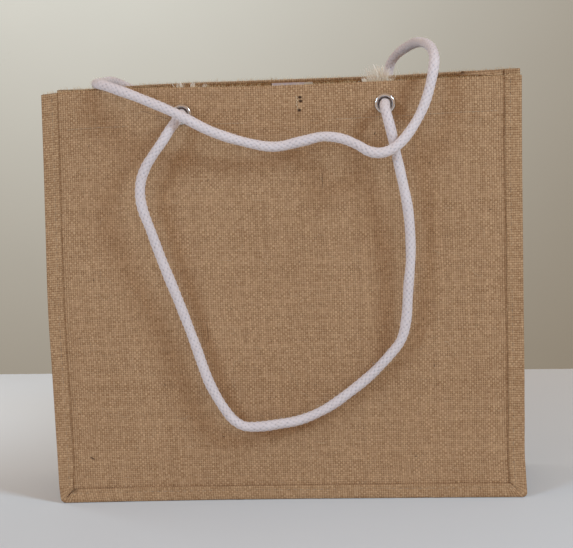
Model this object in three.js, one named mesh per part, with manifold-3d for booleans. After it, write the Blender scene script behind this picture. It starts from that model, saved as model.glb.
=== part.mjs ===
// A jute tote bag: two panels joined by one gusset strip, bound edges, four eyelets
// and two cotton rope handles, each held by a knot on the inside.
// Millimetres, +Z up. The origin is on the surface that the bag stands on, below the
// middle of the bag, and the front faces -Y.

import * as THREE from 'three';
import { mergeVertices } from 'three/addons/utils/BufferGeometryUtils.js';
import Module from 'manifold-3d';

// Driving sizes
const height = 353;           // floor to the hemmed mouth, at the middle of the front
const halfWidth = 200;        // middle to the bound side edge, before the outline's waver
const cloth = 1.1;            // one layer of woven jute
const gap = 0.3;              // between pieces that touch
const gussetWidth = 100;      // the gusset strip, seam to seam
const mouthHalfDepth = 33.5;  // middle plane to a panel at the mouth
const footHalfDepth = 46;     // the same at the middle of the foot
const bellyDepth = 3;         // how far a panel swells between its seams
const sideBinding = 13.5;     // bound edge, up the sides
const footBinding = 12.3;     // bound edge, along the foot
const hemDepth = 31;          // folded hem round the mouth
const gussetHem = 27.6;       // the gusset's own hem
const ropeDiameter = 8.3;
const eyeletHole = 5.7;       // radius
const eyeletRim = 8.8;        // radius
const knotRing = 7;           // radius of a knot's turns round the rope's line
const knotTwist = 3.4;        // radius of the turns about that ring
const yarn = 1.7;             // thickness of a frayed yarn

// The bag's side edges, a row for each height
const sideEdges = [
  { z: 0, left: 199.6, right: 199.4 },
  { z: 40, left: 200.6, right: 199.6 },
  { z: 110, left: 201.8, right: 200.2 },
  { z: 170, left: 202.6, right: 200.6 },
  { z: 240, left: 201.2, right: 201.2 },
  { z: 300, left: 199.9, right: 201.7 },
  { z: 356, left: 199.0, right: 202.6 },
];

// The height of the mouth, a row for each place across the bag
const mouthEdges = [
  { across: -200, front: 351.2, back: 348.8 },
  { across: -184, front: 352.6, back: 349.0 },
  { across: -165, front: 353.8, back: 349.4 },
  { across: -110, front: 354.4, back: 351.5 },
  { across: -10, front: 353.1, back: 352.2 },
  { across: 90, front: 354.2, back: 352.8 },
  { across: 145, front: 355.3, back: 354.3 },
  { across: 200, front: 355.6, back: 355.4 },
];

// How much further out the foot's ends stand than its middle
const footBow = {
  front: { left: 5, right: 2 },
  back: { left: 3, right: 5 },
};

// Eyelets, with the height to which the frayed rope's end behind each one reaches
const eyelets = [
  { name: 'front_left', side: -1, x: -80.7, z: 331.6, tailTop: 359, spread: 15 },
  { name: 'front_right', side: -1, x: 89.7, z: 335.7, tailTop: 370, spread: 13 },
  { name: 'back_left', side: 1, x: -84, z: 331, tailTop: 347, spread: 9 },
  { name: 'back_right', side: 1, x: 88, z: 333, tailTop: 349, spread: 9 },
];

// The front handle hangs in front of the panel in one long loop
const frontRoute = [
  [-81.6, -44.8, 330.8], [-83.8, -51.4, 327], [-88.1, -56, 321.3], [-93.7, -58.6, 312.8],
  [-102.9, -59.4, 300.6], [-109.4, -59.2, 290.7], [-113.7, -59, 279.9], [-115.1, -59, 268],
  [-113.4, -59, 255.6], [-108, -58.8, 238.7], [-99.2, -58, 210.6], [-87.4, -57, 176.7],
  [-76.1, -56.5, 142.1], [-65.4, -56.6, 107.6], [-59.4, -57, 94.7], [-53.2, -57, 83.7],
  [-45.9, -57, 73.8], [-36.5, -57, 67.9], [-23.5, -56.6, 67.2], [-6.6, -56, 69.1],
  [11.4, -55.5, 72.3], [33.3, -55, 81.6], [53.2, -55, 95.2], [72.1, -55, 110.4],
  [87.6, -55, 126.2], [98, -55.4, 139.7], [102.6, -56, 155.5], [105.3, -56.7, 183],
  [108.2, -57, 213], [107.2, -57, 248], [102.5, -56.9, 277], [98.2, -56.7, 298.5],
  [95.3, -57.5, 314.6], [93, -55.8, 323.9], [91.2, -51.3, 330.5], [90, -44.7, 334.5],
];

// The back handle is flipped over the mouth and lies across the front
const backRoute = [
  [88, 44.8, 334.9], [88, 51.4, 339.5], [88.2, 55.6, 345.8], [89.2, 57.9, 354],
  [91.8, 56.2, 361.8], [97.3, 49.5, 369.2], [105.3, 35.5, 375.8], [116, 10, 382],
  [125, -15, 382.3], [129.8, -32, 378.6], [131.5, -43, 372], [130.5, -49.3, 363.5],
  [128, -53, 352.3], [122.2, -57, 335], [112.5, -61.9, 318.1], [103.6, -65.5, 307.5],
  [95.8, -67.7, 301.7], [86.8, -68.4, 299.1], [77.6, -66.7, 300.2], [67.1, -62.8, 305.6],
  [54.1, -58, 310.5], [39, -55, 312.1], [21, -53.4, 308.5], [-2, -52.2, 304.5],
  [-26.1, -54.4, 309.3], [-53, -59.2, 319.5], [-82.9, -61.2, 336.1], [-115, -54, 349.5],
  [-134, -46.5, 355.8], [-145.8, -38.5, 358.8], [-151.8, -28, 358.7], [-155.4, -13, 357.5],
  [-156.4, 3, 356.5], [-155, 18, 355.6], [-151.2, 31, 355.1], [-145.4, 42, 352],
  [-137.2, 49.5, 346.6], [-126.5, 54.8, 340], [-114.5, 57.6, 334.6], [-104.5, 57.4, 331.8],
  [-96.4, 55.4, 331], [-89.9, 51.2, 331.1], [-85.5, 44.8, 331.1],
];

const jute = new THREE.MeshStandardMaterial({ color: 0xa98461, roughness: 0.95 });
const bindingJute = new THREE.MeshStandardMaterial({ color: 0xb08c66, roughness: 0.95 });
const nickel = new THREE.MeshStandardMaterial({ color: 0xc9c7c2, roughness: 0.3, metalness: 1 });
const cotton = new THREE.MeshStandardMaterial({ color: 0xddd8dc, roughness: 0.9 });
const tape = new THREE.MeshStandardMaterial({ color: 0xe8e4ea, roughness: 0.8 });

const wasm = await Module();
wasm.setup();

const { clamp, lerp, smoothstep } = THREE.MathUtils;

// A smooth curve through one column of a table
function readTable(table, key, column, at) {
  const last = table.length - 1;
  const here = clamp(at, table[0][key], table[last][key]);
  const i = clamp(table.findIndex((row) => row[key] >= here) - 1, 0, last - 1);
  const slope = (k) => {
    const before = table[Math.max(k - 1, 0)];
    const after = table[Math.min(k + 1, last)];
    return (after[column] - before[column]) / (after[key] - before[key]);
  };
  const span = table[i + 1][key] - table[i][key];
  const t = (here - table[i][key]) / span;
  const rise = t * t * (3 - 2 * t);
  return lerp(table[i][column], table[i + 1][column], rise)
    + span * t * (1 - t) * ((1 - t) * slope(i) - t * slope(i + 1));
}

// How far a panel's outer face stands from the middle plane, at a real x and z
function wallDepth(side, x, z) {
  const bow = footBow[side < 0 ? 'front' : 'back'][x < 0 ? 'left' : 'right'];
  const foot = footHalfDepth + bow * (x / halfWidth) ** 2;
  const rise = clamp(z / height, 0, 1);
  const inFromSeam = clamp(1 - (x / (halfWidth - sideBinding)) ** 2, 0, 1);
  const swell = Math.sin(Math.PI * rise) * inFromSeam;
  const waver = 0.25 * Math.sin(x / 37 - side) * Math.cos(z / 61 + side);
  return lerp(foot, mouthHalfDepth, rise) + bellyDepth * swell * (1 + waver);
}

// A place on a wall: across is -200 to 200 and up is 0 to 353 at the bag's own edges,
// and inset is the distance behind the panel's outer face
function place(side, across, up, inset) {
  const z = up * readTable(mouthEdges, 'across', side < 0 ? 'front' : 'back', across) / height;
  const edge = readTable(sideEdges, 'z', across < 0 ? 'left' : 'right', z);
  const x = across * edge / halfWidth;
  return new THREE.Vector3(x, side * (wallDepth(side, x, z) - inset), z);
}

// Turns a closed mesh inside out if its faces point inwards
function facingOut(geometry) {
  const p = geometry.attributes.position;
  const index = geometry.index.array;
  const a = new THREE.Vector3();
  const b = new THREE.Vector3();
  const c = new THREE.Vector3();
  let volume = 0;
  for (let i = 0; i < index.length; i += 3) {
    a.fromBufferAttribute(p, index[i]);
    b.fromBufferAttribute(p, index[i + 1]);
    c.fromBufferAttribute(p, index[i + 2]);
    volume += a.dot(b.cross(c));
  }
  if (volume < 0) {
    for (let i = 0; i < index.length; i += 3) {
      [index[i + 1], index[i + 2]] = [index[i + 2], index[i + 1]];
    }
  }
  geometry.computeVertexNormals();
  return geometry;
}

// A closed slab of cloth on a grid of rows and columns: spot(row, column, face) gives
// each point, on face 0 or face 1
function slab(rows, columns, spot) {
  const box = new THREE.BoxGeometry(rows, columns, 1, rows, columns, 1);
  box.deleteAttribute('normal');
  box.deleteAttribute('uv');
  const geometry = mergeVertices(box);
  const p = geometry.attributes.position;
  for (let i = 0; i < p.count; i++) {
    const row = Math.round(p.getX(i) + rows / 2);
    const column = Math.round(p.getY(i) + columns / 2);
    const point = spot(row, column, p.getZ(i) > 0 ? 1 : 0);
    p.setXYZ(i, point.x, point.y, point.z);
  }
  return facingOut(geometry);
}

function toSolid(geometry) {
  const bare = geometry.clone();
  bare.deleteAttribute('normal');
  bare.deleteAttribute('uv');
  const merged = mergeVertices(bare, 1e-4);
  return new wasm.Manifold(new wasm.Mesh({
    numProp: 3,
    vertProperties: Float32Array.from(merged.attributes.position.array),
    triVerts: Uint32Array.from(merged.index.array),
  }));
}

function toGeometry(solid) {
  const mesh = solid.getMesh();
  const geometry = new THREE.BufferGeometry();
  geometry.setAttribute('position', new THREE.BufferAttribute(mesh.vertProperties, 3));
  geometry.setIndex(new THREE.BufferAttribute(mesh.triVerts, 1));
  geometry.computeVertexNormals();
  return geometry;
}

// Values from first to last, in equal steps
function steps(first, last, count) {
  return Array.from({ length: count + 1 }, (_, i) => lerp(first, last, i / count));
}

// An eyelet's middle on the panel's outer face, and the panel's outward direction there
function seatOf({ side, x, z }) {
  const at = (dx, dz) => new THREE.Vector3(x + dx, side * wallDepth(side, x + dx, z + dz), z + dz);
  const alongX = at(4, 0).sub(at(-4, 0));
  const alongZ = at(0, 4).sub(at(0, -4));
  const outward = alongX.cross(alongZ).normalize();
  if (outward.y * side < 0) outward.negate();
  return { centre: at(0, 0), outward };
}

// A group at the eyelet's middle, whose +Y points out of the panel and +Z up along it
function seatGroup(eyelet) {
  const { centre, outward } = seatOf(eyelet);
  const across = outward.clone().cross(new THREE.Vector3(0, 0, 1)).normalize();
  const upward = across.clone().cross(outward);
  const group = new THREE.Group();
  group.position.copy(centre);
  const frame = new THREE.Matrix4().makeBasis(across, outward, upward);
  group.quaternion.setFromRotationMatrix(frame);
  group.updateMatrix();
  return group;
}

// Panel: flat cloth with a hem folded to the inside, between the seams only
const hemLayers = 2 * cloth + 0.1;
const hemSide = halfWidth - sideBinding - 3.5;
const clothEdge = cloth + gap + 0.2;
const cornerTrim = 1;
const barrelRadius = eyeletHole + 0.35;

function panelGeometry(side) {
  const hemStart = height - hemDepth;
  const ups = [clothEdge, ...steps(footBinding, hemStart - 1, 11), ...steps(hemStart, height - 0.8, 3), height];
  const half = [hemSide + 0.8, ...steps(hemSide, 0, 9)];
  const halfFoot = [halfWidth - clothEdge, ...half];
  const acrosses = [...halfFoot.map((v) => -v), ...halfFoot.slice(0, -1).reverse()];
  const spot = (row, column, face) => {
    const atCorner = row === 0 && Math.abs(acrosses[column]) > hemSide + 1;
    const up = ups[row] + (atCorner ? cornerTrim : 0);
    const across = acrosses[column] - (atCorner ? Math.sign(acrosses[column]) * cornerTrim : 0);
    const hemmed = up >= hemStart && Math.abs(across) <= hemSide;
    const rounding = row === ups.length - 1 ? 0.35 : 0;
    const inset = face === 0 ? rounding : (hemmed ? hemLayers : cloth) - rounding;
    return place(side, across, up, inset);
  };
  let solid = toSolid(slab(ups.length - 1, acrosses.length - 1, spot));
  for (const eyelet of eyelets.filter((e) => e.side === side)) {
    const punch = new THREE.CylinderGeometry(barrelRadius + gap, barrelRadius + gap, 16, 20);
    solid = solid.subtract(toSolid(punch.applyMatrix4(seatGroup(eyelet).matrix)));
  }
  return toGeometry(solid);
}

// Gusset: one strip down a side, under the bag and up the other side. Its edges turn
// outwards into the bound seams, and its sides fold inwards along the middle.
const seamAcross = halfWidth - sideBinding;
const cornerRadius = 6;

function gussetStations() {
  const sideUps = [
    ...steps(height, height - gussetHem, 2),
    height - gussetHem - 0.8,
    ...steps(300, 60, 8),
    38,
    footBinding + cornerRadius,
  ];
  const downSide = sideUps.map((up) => ({ across: -seamAcross, up, out: [-1, 0] }));
  const corner = [30, 60].map((angle) => {
    const turn = THREE.MathUtils.degToRad(angle);
    return {
      across: -seamAcross + cornerRadius * (1 - Math.cos(turn)),
      up: footBinding + cornerRadius * (1 - Math.sin(turn)),
      out: [-Math.cos(turn), -Math.sin(turn)],
    };
  });
  const foot = steps(-seamAcross + cornerRadius, 0, 4);
  const alongFoot = foot.map((across) => ({ across, up: footBinding, out: [0, -1] }));
  const half = [...downSide, ...corner, ...alongFoot];
  const other = half.slice(0, -1).reverse();
  return [...half, ...other.map((s) => ({ ...s, across: -s.across, out: [-s.out[0], s.out[1]] }))];
}

function gussetGeometry() {
  const stations = gussetStations();
  const folds = [-1, -0.72, -0.4, -0.1, 0, 0.1, 0.4, 0.72, 1];
  const flangeInset = [cloth + gap, 2 * cloth + gap];
  const spot = (row, column, face) => {
    const { across, up, out } = stations[row];
    const move = (side, distance, inset) => (
      place(side, across + out[0] * distance, up + out[1] * distance, inset)
    );
    const side = column < (folds.length + 2) / 2 ? -1 : 1;
    if (column === 0 || column === folds.length + 1) {
      const reach = Math.hypot(out[0] * (sideBinding - 2), out[1] * (footBinding - 2));
      return move(side, reach, flangeInset[face]);
    }
    const t = folds[column - 1];
    if (Math.abs(t) === 1) {
      return move(side, face === 0 ? -cloth : 0, flangeInset[face]);
    }
    const seam = wallDepth(-1, across, up);
    const folded = Math.sqrt(Math.max((gussetWidth / 2) ** 2 - seam ** 2, 0));
    const fold = folded * Math.abs(out[0]) * smoothstep(up, footBinding, 60);
    const hemmed = up >= height - gussetHem && face === 0;
    const layers = hemmed ? hemLayers : cloth;
    const slope = Math.hypot(1, fold / seam);
    const inwards = fold * (1 - Math.abs(t)) + (face === 0 ? layers * slope : 0);
    const front = move(-1, -inwards, flangeInset[1]);
    const back = move(1, -inwards, flangeInset[1]);
    return front.lerp(back, (t + 1) / 2);
  };
  return slab(stations.length - 1, folds.length + 1, spot);
}

// Binding: a strip folded round the raw edges, up one side, along the foot and up the
// other, mitred at the two lower corners. Each row is a place in from the bag's edge
// and behind the panel's outer face, first on the strip's outer face, then on its inner.
const bindingBack = 3 * cloth + 2 * gap;
const bindingSection = [
  { outer: [1, -gap - cloth], inner: [1, -gap] },
  { outer: [0.5, -gap - cloth], inner: [0.5, -gap] },
  { outer: [0.11, -gap - cloth], inner: [0.12, -gap] },
  { outer: [0.025, -gap - 0.5], inner: [0.09, 0] },
  { outer: [0, 0.35], inner: [0.085, 0.5] },
  { outer: [0, 2.15], inner: [0.085, 2] },
  { outer: [0.025, bindingBack - 0.6], inner: [0.09, 2.5] },
  { outer: [0.11, bindingBack + cloth - gap * 2], inner: [0.12, bindingBack - cloth + gap] },
  { outer: [0.97, bindingBack + cloth - gap * 2], inner: [0.97, bindingBack - cloth + gap] },
];

function bindingStations() {
  const outerCorner = 4;
  const innerCorner = 1;
  const sideUps = steps(height, 20, 9);
  const downSide = sideUps.map((up) => ({ outer: [-halfWidth, up], inner: [-seamAcross, up] }));
  const round = (across, up, radius, turn) => [
    across + radius * (1 - Math.cos(turn)),
    up + radius * (1 - Math.sin(turn)),
  ];
  const corner = [0, 30, 60, 90].map((angle) => {
    const turn = THREE.MathUtils.degToRad(angle);
    return {
      outer: round(-halfWidth, 0, outerCorner, turn),
      inner: round(-seamAcross, footBinding, innerCorner, turn),
    };
  });
  const foot = steps(-seamAcross + 6, 0, 5);
  const alongFoot = foot.map((across) => ({ outer: [across, 0], inner: [across, footBinding] }));
  const half = [...downSide, ...corner, ...alongFoot];
  const other = half.slice(0, -1).reverse();
  const mirror = ([across, up]) => [-across, up];
  return [...half, ...other.map((s) => ({ outer: mirror(s.outer), inner: mirror(s.inner) }))];
}

function bindingGeometry(side) {
  const stations = bindingStations();
  const spot = (row, column, face) => {
    const { outer, inner } = stations[row];
    const [inwards, inset] = bindingSection[column][face === 0 ? 'outer' : 'inner'];
    const across = lerp(outer[0], inner[0], inwards);
    const up = lerp(outer[1], inner[1], inwards);
    return place(side, across, up, inset);
  };
  return slab(stations.length - 1, bindingSection.length - 1, spot);
}

// Eyelet: a rim on the outside, a barrel through both layers and a rolled end inside.
// Radius and distance out of the panel's outer face.
function ringGeometry(profile, segments) {
  const points = profile.map(([radius, out]) => new THREE.Vector2(radius, out));
  return new THREE.LatheGeometry([...points, points[0].clone()], segments);
}

const washerBack = -hemLayers - gap - 0.8;
const rollFront = washerBack - gap;
const rollBack = rollFront - 0.9;
const rimFront = 2.5;

function eyeletGeometry() {
  return ringGeometry([
    [eyeletHole, rollBack + 0.3],
    [eyeletHole + 0.6, rollBack],
    [eyeletHole + 1.4, rollBack + 0.1],
    [eyeletHole + 1.7, rollFront],
    [barrelRadius, rollFront],
    [barrelRadius, gap],
    [eyeletRim, gap],
    [eyeletRim - 0.25, 1.2],
    [eyeletRim - 1.2, 1.8],
    [eyeletHole + 0.7, 1.7],
    [eyeletHole, 1.0],
  ], 16);
}

function washerGeometry() {
  return ringGeometry([
    [barrelRadius + gap, washerBack],
    [eyeletRim, washerBack],
    [eyeletRim, -hemLayers - gap],
    [barrelRadius + gap, -hemLayers - gap],
  ], 16);
}

// Rope: a round section along a smooth line
function tubeGeometry(curve, radius, count, sides) {
  const ring = Array.from({ length: sides }, (_, i) => {
    const turn = 2 * Math.PI * i / sides;
    return new THREE.Vector2(radius * Math.cos(turn), radius * Math.sin(turn));
  });
  const options = { steps: count, bevelEnabled: false, extrudePath: curve };
  return new THREE.ExtrudeGeometry(new THREE.Shape(ring), options);
}

// A handle starts and ends in its knots, and runs straight through both eyelets
function handleGeometry(from, to, route) {
  const through = (eyelet, distances) => {
    const { centre, outward } = seatOf(eyelet);
    return distances.map((d) => centre.clone().addScaledVector(outward, d));
  };
  const points = [
    ...through(from, [rollBack, rimFront]),
    ...route.map((p) => new THREE.Vector3(...p)),
    ...through(to, [rimFront, rollBack]),
  ];
  const curve = new THREE.CatmullRomCurve3(points);
  curve.arcLengthDivisions = 1200;
  return tubeGeometry(curve, ropeDiameter / 2, 66, 8);
}

// Knot: the rope's turns drawn tight behind the eyelet, a neck towards the eyelet and
// the frayed yarns of the rope's end standing up, all one piece
const knotRope = 4;
const neckStart = rollBack - gap;
const knotMiddle = neckStart - knotTwist - knotRope;

function knotTurns() {
  const turnPoint = (t) => {
    const reach = knotRing + knotTwist * Math.cos(3 * t);
    return new THREE.Vector3(
      reach * Math.cos(2 * t),
      knotMiddle + knotTwist * Math.sin(3 * t),
      reach * Math.sin(2 * t),
    );
  };
  const parts = 3;
  const overlap = 0.12;
  return Array.from({ length: parts }, (_, part) => {
    const start = 2 * Math.PI * part / parts - overlap;
    const end = 2 * Math.PI * (part + 1) / parts + overlap;
    const curve = new THREE.CatmullRomCurve3(steps(start, end, 9).map(turnPoint));
    return tubeGeometry(curve, knotRope, 8, 6);
  });
}

function neckGeometry() {
  const length = knotMiddle - neckStart;
  const neck = new THREE.CylinderGeometry(ropeDiameter / 2, ropeDiameter / 2, -length, 10);
  return neck.translate(0, neckStart + length / 2, 0);
}

// Frayed yarns from the knot's top to a given height above the eyelet, fanned out
function yarnGeometries(reach, spread) {
  const count = 7;
  return Array.from({ length: count }, (_, i) => {
    const lean = 2 * i / (count - 1) - 1;
    const sway = Math.sin(5 * i + spread);
    const top = reach * (1 - 0.16 * Math.abs(sway)) * (1 - 0.2 * lean * lean);
    const foot = knotRing - 1;
    const curve = new THREE.CatmullRomCurve3([
      new THREE.Vector3(lean * 4, knotMiddle, foot),
      new THREE.Vector3(lean * 6, knotMiddle + sway, lerp(foot, top, 0.5)),
      new THREE.Vector3(lean * spread + sway, knotMiddle + 2.5 * sway, top),
    ]);
    return tubeGeometry(curve, yarn / 2, 3, 4);
  });
}

function knotGeometry(eyelet) {
  const reach = eyelet.tailTop - eyelet.z;
  const pieces = [...knotTurns(), neckGeometry(), ...yarnGeometries(reach, eyelet.spread)];
  return toGeometry(pieces.map(toSolid).reduce((all, one) => all.add(one)));
}

// Label: a plain strip of woven tape sewn inside the back panel's hem
const labelThickness = 1;
const labelSize = { left: -10.5, right: 24.5, bottom: 323.5, top: 348.6 };

function labelGeometry() {
  const acrosses = steps(labelSize.left, labelSize.right, 4);
  const ups = steps(labelSize.bottom, labelSize.top, 3);
  const spot = (row, column, face) => (
    place(1, acrosses[column], ups[row], hemLayers + gap + face * labelThickness)
  );
  return slab(ups.length - 1, acrosses.length - 1, spot);
}

const bag = new THREE.Group();

function addMesh(name, geometry, material, parent = bag) {
  const mesh = new THREE.Mesh(geometry, material);
  mesh.name = name;
  parent.add(mesh);
}

addMesh('front_panel', panelGeometry(-1), jute);
addMesh('back_panel', panelGeometry(1), jute);
addMesh('gusset', gussetGeometry(), jute);
addMesh('front_binding', bindingGeometry(-1), bindingJute);
addMesh('back_binding', bindingGeometry(1), bindingJute);
addMesh('label', labelGeometry(), tape);

for (const eyelet of eyelets) {
  const seat = seatGroup(eyelet);
  bag.add(seat);
  addMesh(`eyelet_${eyelet.name}`, eyeletGeometry(), nickel, seat);
  addMesh(`washer_${eyelet.name}`, washerGeometry(), nickel, seat);
  addMesh(`knot_${eyelet.name}`, knotGeometry(eyelet), cotton, seat);
}

const [frontLeft, frontRight, backLeft, backRight] = eyelets;
addMesh('handle_front', handleGeometry(frontLeft, frontRight, frontRoute), cotton);
addMesh('handle_back', handleGeometry(backRight, backLeft, backRoute), cotton);

export default bag;
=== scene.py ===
"""A jute tote bag: woven panels, gusset and bindings, eyelets and braided cotton handles.

Everything is in metres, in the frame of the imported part: +X to the right along the
width, -Y out of the front panel, +Z up from the surface that the bag stands on.
"""

import math

import bpy
import numpy as np
from bpy.props import FloatProperty, FloatVectorProperty, IntProperty, PointerProperty
from bpy.types import Operator, Panel, PropertyGroup
from mathutils import Matrix


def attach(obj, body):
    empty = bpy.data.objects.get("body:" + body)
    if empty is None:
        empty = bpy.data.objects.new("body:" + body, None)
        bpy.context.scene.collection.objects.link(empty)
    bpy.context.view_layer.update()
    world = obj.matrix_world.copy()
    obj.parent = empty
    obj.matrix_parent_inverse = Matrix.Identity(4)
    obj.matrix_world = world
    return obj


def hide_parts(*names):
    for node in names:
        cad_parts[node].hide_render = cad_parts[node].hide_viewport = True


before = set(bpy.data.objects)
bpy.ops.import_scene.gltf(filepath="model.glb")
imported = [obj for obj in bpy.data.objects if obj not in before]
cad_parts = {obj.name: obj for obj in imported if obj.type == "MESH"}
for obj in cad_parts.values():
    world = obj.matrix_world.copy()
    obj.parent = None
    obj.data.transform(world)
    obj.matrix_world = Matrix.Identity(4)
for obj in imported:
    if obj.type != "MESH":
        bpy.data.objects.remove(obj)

bl_info = {
    "name": "Jute Tote Bag",
    "version": (1, 0, 0),
    "blender": (4, 5, 0),
    "location": "3D View > Sidebar > Tote Bag",
    "description": "Woven jute shell, metal eyelets and braided cotton handles",
    "category": "Object",
}

FRONT, BACK = -1, 1

# The bag's sizes. HEM_SIDE is how far across a panel's hem reaches, GUSSET_UNFOLDS the
# height below which the gusset's fold fades out, HEM_LAYERS how thick a hem is, and
# TOP_RADIUS the radius of the fold at a panel's top
HEIGHT = 0.353
HALF_WIDTH = 0.200
GUSSET_HALF_WIDTH = 0.050
MOUTH_HALF_DEPTH = 0.0335
FOOT_HALF_DEPTH = 0.046
BELLY_DEPTH = 0.003
SIDE_BINDING = 0.0135
FOOT_BINDING = 0.0123
SEAM_ACROSS = HALF_WIDTH - SIDE_BINDING
HEM_DEPTH = 0.031
HEM_SIDE = 0.183
GUSSET_HEM = 0.0276
GUSSET_UNFOLDS = 0.060
LAYER = 0.0011
GAP = 0.0003
HEM_LAYERS = 0.0023
TOP_RADIUS = 0.00115

# Where each panel's middle lies on the cloth, along its level threads, and where the bag's
# middle lies on the label's tape
CLOTH_START = {FRONT: 0.25, BACK: 0.75}
TAPE_START = 0.1

# Height, then the distance from the middle to the left and to the right side edge
SIDE_EDGES = np.array([
    (0.000, 0.1993, 0.2007),
    (0.006, 0.2002, 0.2006),
    (0.016, 0.2007, 0.2001),
    (0.038, 0.2009, 0.1992),
    (0.070, 0.2013, 0.1997),
    (0.110, 0.2018, 0.2002),
    (0.170, 0.2026, 0.2006),
    (0.240, 0.2012, 0.2012),
    (0.300, 0.1999, 0.2017),
    (0.356, 0.1990, 0.2026),
])

# Place across the bag, then the mouth's height at the front and at the back
MOUTH_EDGES = np.array([
    (-0.200, 0.3512, 0.3488),
    (-0.184, 0.3526, 0.3490),
    (-0.165, 0.3538, 0.3494),
    (-0.110, 0.3544, 0.3515),
    (-0.010, 0.3531, 0.3522),
    (0.090, 0.3542, 0.3528),
    (0.145, 0.3553, 0.3543),
    (0.200, 0.3556, 0.3554),
])

# How much further out the foot's left and right ends stand than its middle
FOOT_BOW = {FRONT: (0.005, 0.002), BACK: (0.003, 0.005)}

# Each eyelet's side and place
EYELETS = {
    "front_left": dict(side=FRONT, x=-0.0807, z=0.3316),
    "front_right": dict(side=FRONT, x=0.0897, z=0.3357),
    "back_left": dict(side=BACK, x=-0.0840, z=0.3310),
    "back_right": dict(side=BACK, x=0.0880, z=0.3330),
}

# The frayed rope end behind each eyelet: wisps of yarn, each with its place along the mouth
# beside the eyelet, its half width, the height of its tips above the eyelet, and how many
# yarns and fine fibres it has
FRAYS = {
    "front_left": np.array([
        (-0.0077, 0.0013, 0.0232, 10, 18),
        (-0.0027, 0.0024, 0.0272, 20, 16),
        (0.0093, 0.0024, 0.0260, 18, 14),
        (0.0196, 0.0007, 0.0248, 6, 10),
        (0.0020, 0.0080, 0.0185, 12, 30),
    ]),
    "front_right": np.array([
        (-0.0070, 0.0122, 0.0232, 84, 240),
        (-0.0065, 0.0098, 0.0325, 10, 300),
        (-0.0160, 0.0036, 0.0218, 12, 60),
    ]),
    "back_left": np.array([(0.0010, 0.0070, 0.0150, 34, 120)]),
    "back_right": np.array([(-0.0010, 0.0070, 0.0155, 34, 120)]),
}

# The eyelets that each handle runs from and to
HANDLE_ENDS = {
    "handle_front": ("front_left", "front_right"),
    "handle_back": ("back_right", "back_left"),
}

# The points that each handle passes, from its first eyelet to its second
ROUTES = {
    "handle_front": np.array([
        (-0.0816, -0.0448, 0.3308), (-0.0838, -0.0514, 0.3270), (-0.0881, -0.0560, 0.3213),
        (-0.0937, -0.0586, 0.3128), (-0.1029, -0.0594, 0.3006), (-0.1094, -0.0592, 0.2907),
        (-0.1137, -0.0590, 0.2799), (-0.1151, -0.0590, 0.2680), (-0.1134, -0.0590, 0.2556),
        (-0.1080, -0.0588, 0.2387), (-0.0992, -0.0580, 0.2106), (-0.0874, -0.0570, 0.1767),
        (-0.0761, -0.0565, 0.1421), (-0.0654, -0.0566, 0.1076), (-0.0594, -0.0570, 0.0947),
        (-0.0532, -0.0570, 0.0837), (-0.0459, -0.0570, 0.0738), (-0.0365, -0.0570, 0.0679),
        (-0.0235, -0.0566, 0.0672), (-0.0066, -0.0560, 0.0691), (0.0114, -0.0555, 0.0723),
        (0.0333, -0.0550, 0.0816), (0.0532, -0.0550, 0.0952), (0.0721, -0.0550, 0.1104),
        (0.0876, -0.0550, 0.1262), (0.0980, -0.0554, 0.1397), (0.1026, -0.0560, 0.1555),
        (0.1053, -0.0567, 0.1830), (0.1082, -0.0570, 0.2130), (0.1072, -0.0570, 0.2480),
        (0.1025, -0.0569, 0.2770), (0.0982, -0.0567, 0.2985), (0.0953, -0.0575, 0.3146),
        (0.0930, -0.0558, 0.3239), (0.0912, -0.0513, 0.3305), (0.0900, -0.0447, 0.3345),
    ]),
    "handle_back": np.array([
        (0.0880, 0.0448, 0.3349), (0.0880, 0.0514, 0.3395), (0.0882, 0.0556, 0.3458),
        (0.0892, 0.0579, 0.3540), (0.0918, 0.0562, 0.3618), (0.0973, 0.0495, 0.3692),
        (0.1053, 0.0355, 0.3758), (0.1160, 0.0100, 0.3820), (0.1250, -0.0150, 0.3823),
        (0.1298, -0.0320, 0.3786), (0.1315, -0.0430, 0.3720), (0.1305, -0.0493, 0.3635),
        (0.1280, -0.0530, 0.3523), (0.1222, -0.0570, 0.3350), (0.1125, -0.0619, 0.3181),
        (0.1036, -0.0655, 0.3075), (0.0958, -0.0677, 0.3017), (0.0868, -0.0684, 0.2991),
        (0.0776, -0.0667, 0.3002), (0.0671, -0.0628, 0.3056), (0.0541, -0.0580, 0.3105),
        (0.0390, -0.0550, 0.3121), (0.0210, -0.0534, 0.3085), (-0.0020, -0.0522, 0.3045),
        (-0.0261, -0.0544, 0.3093), (-0.0530, -0.0592, 0.3195), (-0.0829, -0.0612, 0.3361),
        (-0.1150, -0.0540, 0.3495), (-0.1340, -0.0465, 0.3558), (-0.1458, -0.0385, 0.3588),
        (-0.1518, -0.0280, 0.3587), (-0.1554, -0.0130, 0.3575), (-0.1564, 0.0030, 0.3565),
        (-0.1550, 0.0180, 0.3556), (-0.1512, 0.0310, 0.3551), (-0.1454, 0.0420, 0.3520),
        (-0.1372, 0.0495, 0.3466), (-0.1265, 0.0548, 0.3400), (-0.1145, 0.0576, 0.3346),
        (-0.1045, 0.0574, 0.3318), (-0.0964, 0.0554, 0.3310), (-0.0899, 0.0512, 0.3311),
        (-0.0855, 0.0448, 0.3311),
    ]),
}


# Numbers and curves


def lerp(start, end, share):
    return start + (end - start) * share


def ramp(value, low, high):
    """0 below low, 1 above high, and a smooth S between them."""
    t = np.clip((value - low) / (high - low), 0, 1)
    return t * t * (3 - 2 * t)


def bump(value, middle, width):
    """A bell of height 1 at the middle, which falls to about a third at the width."""
    return np.exp(-(((value - middle) / width) ** 2))


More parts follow.
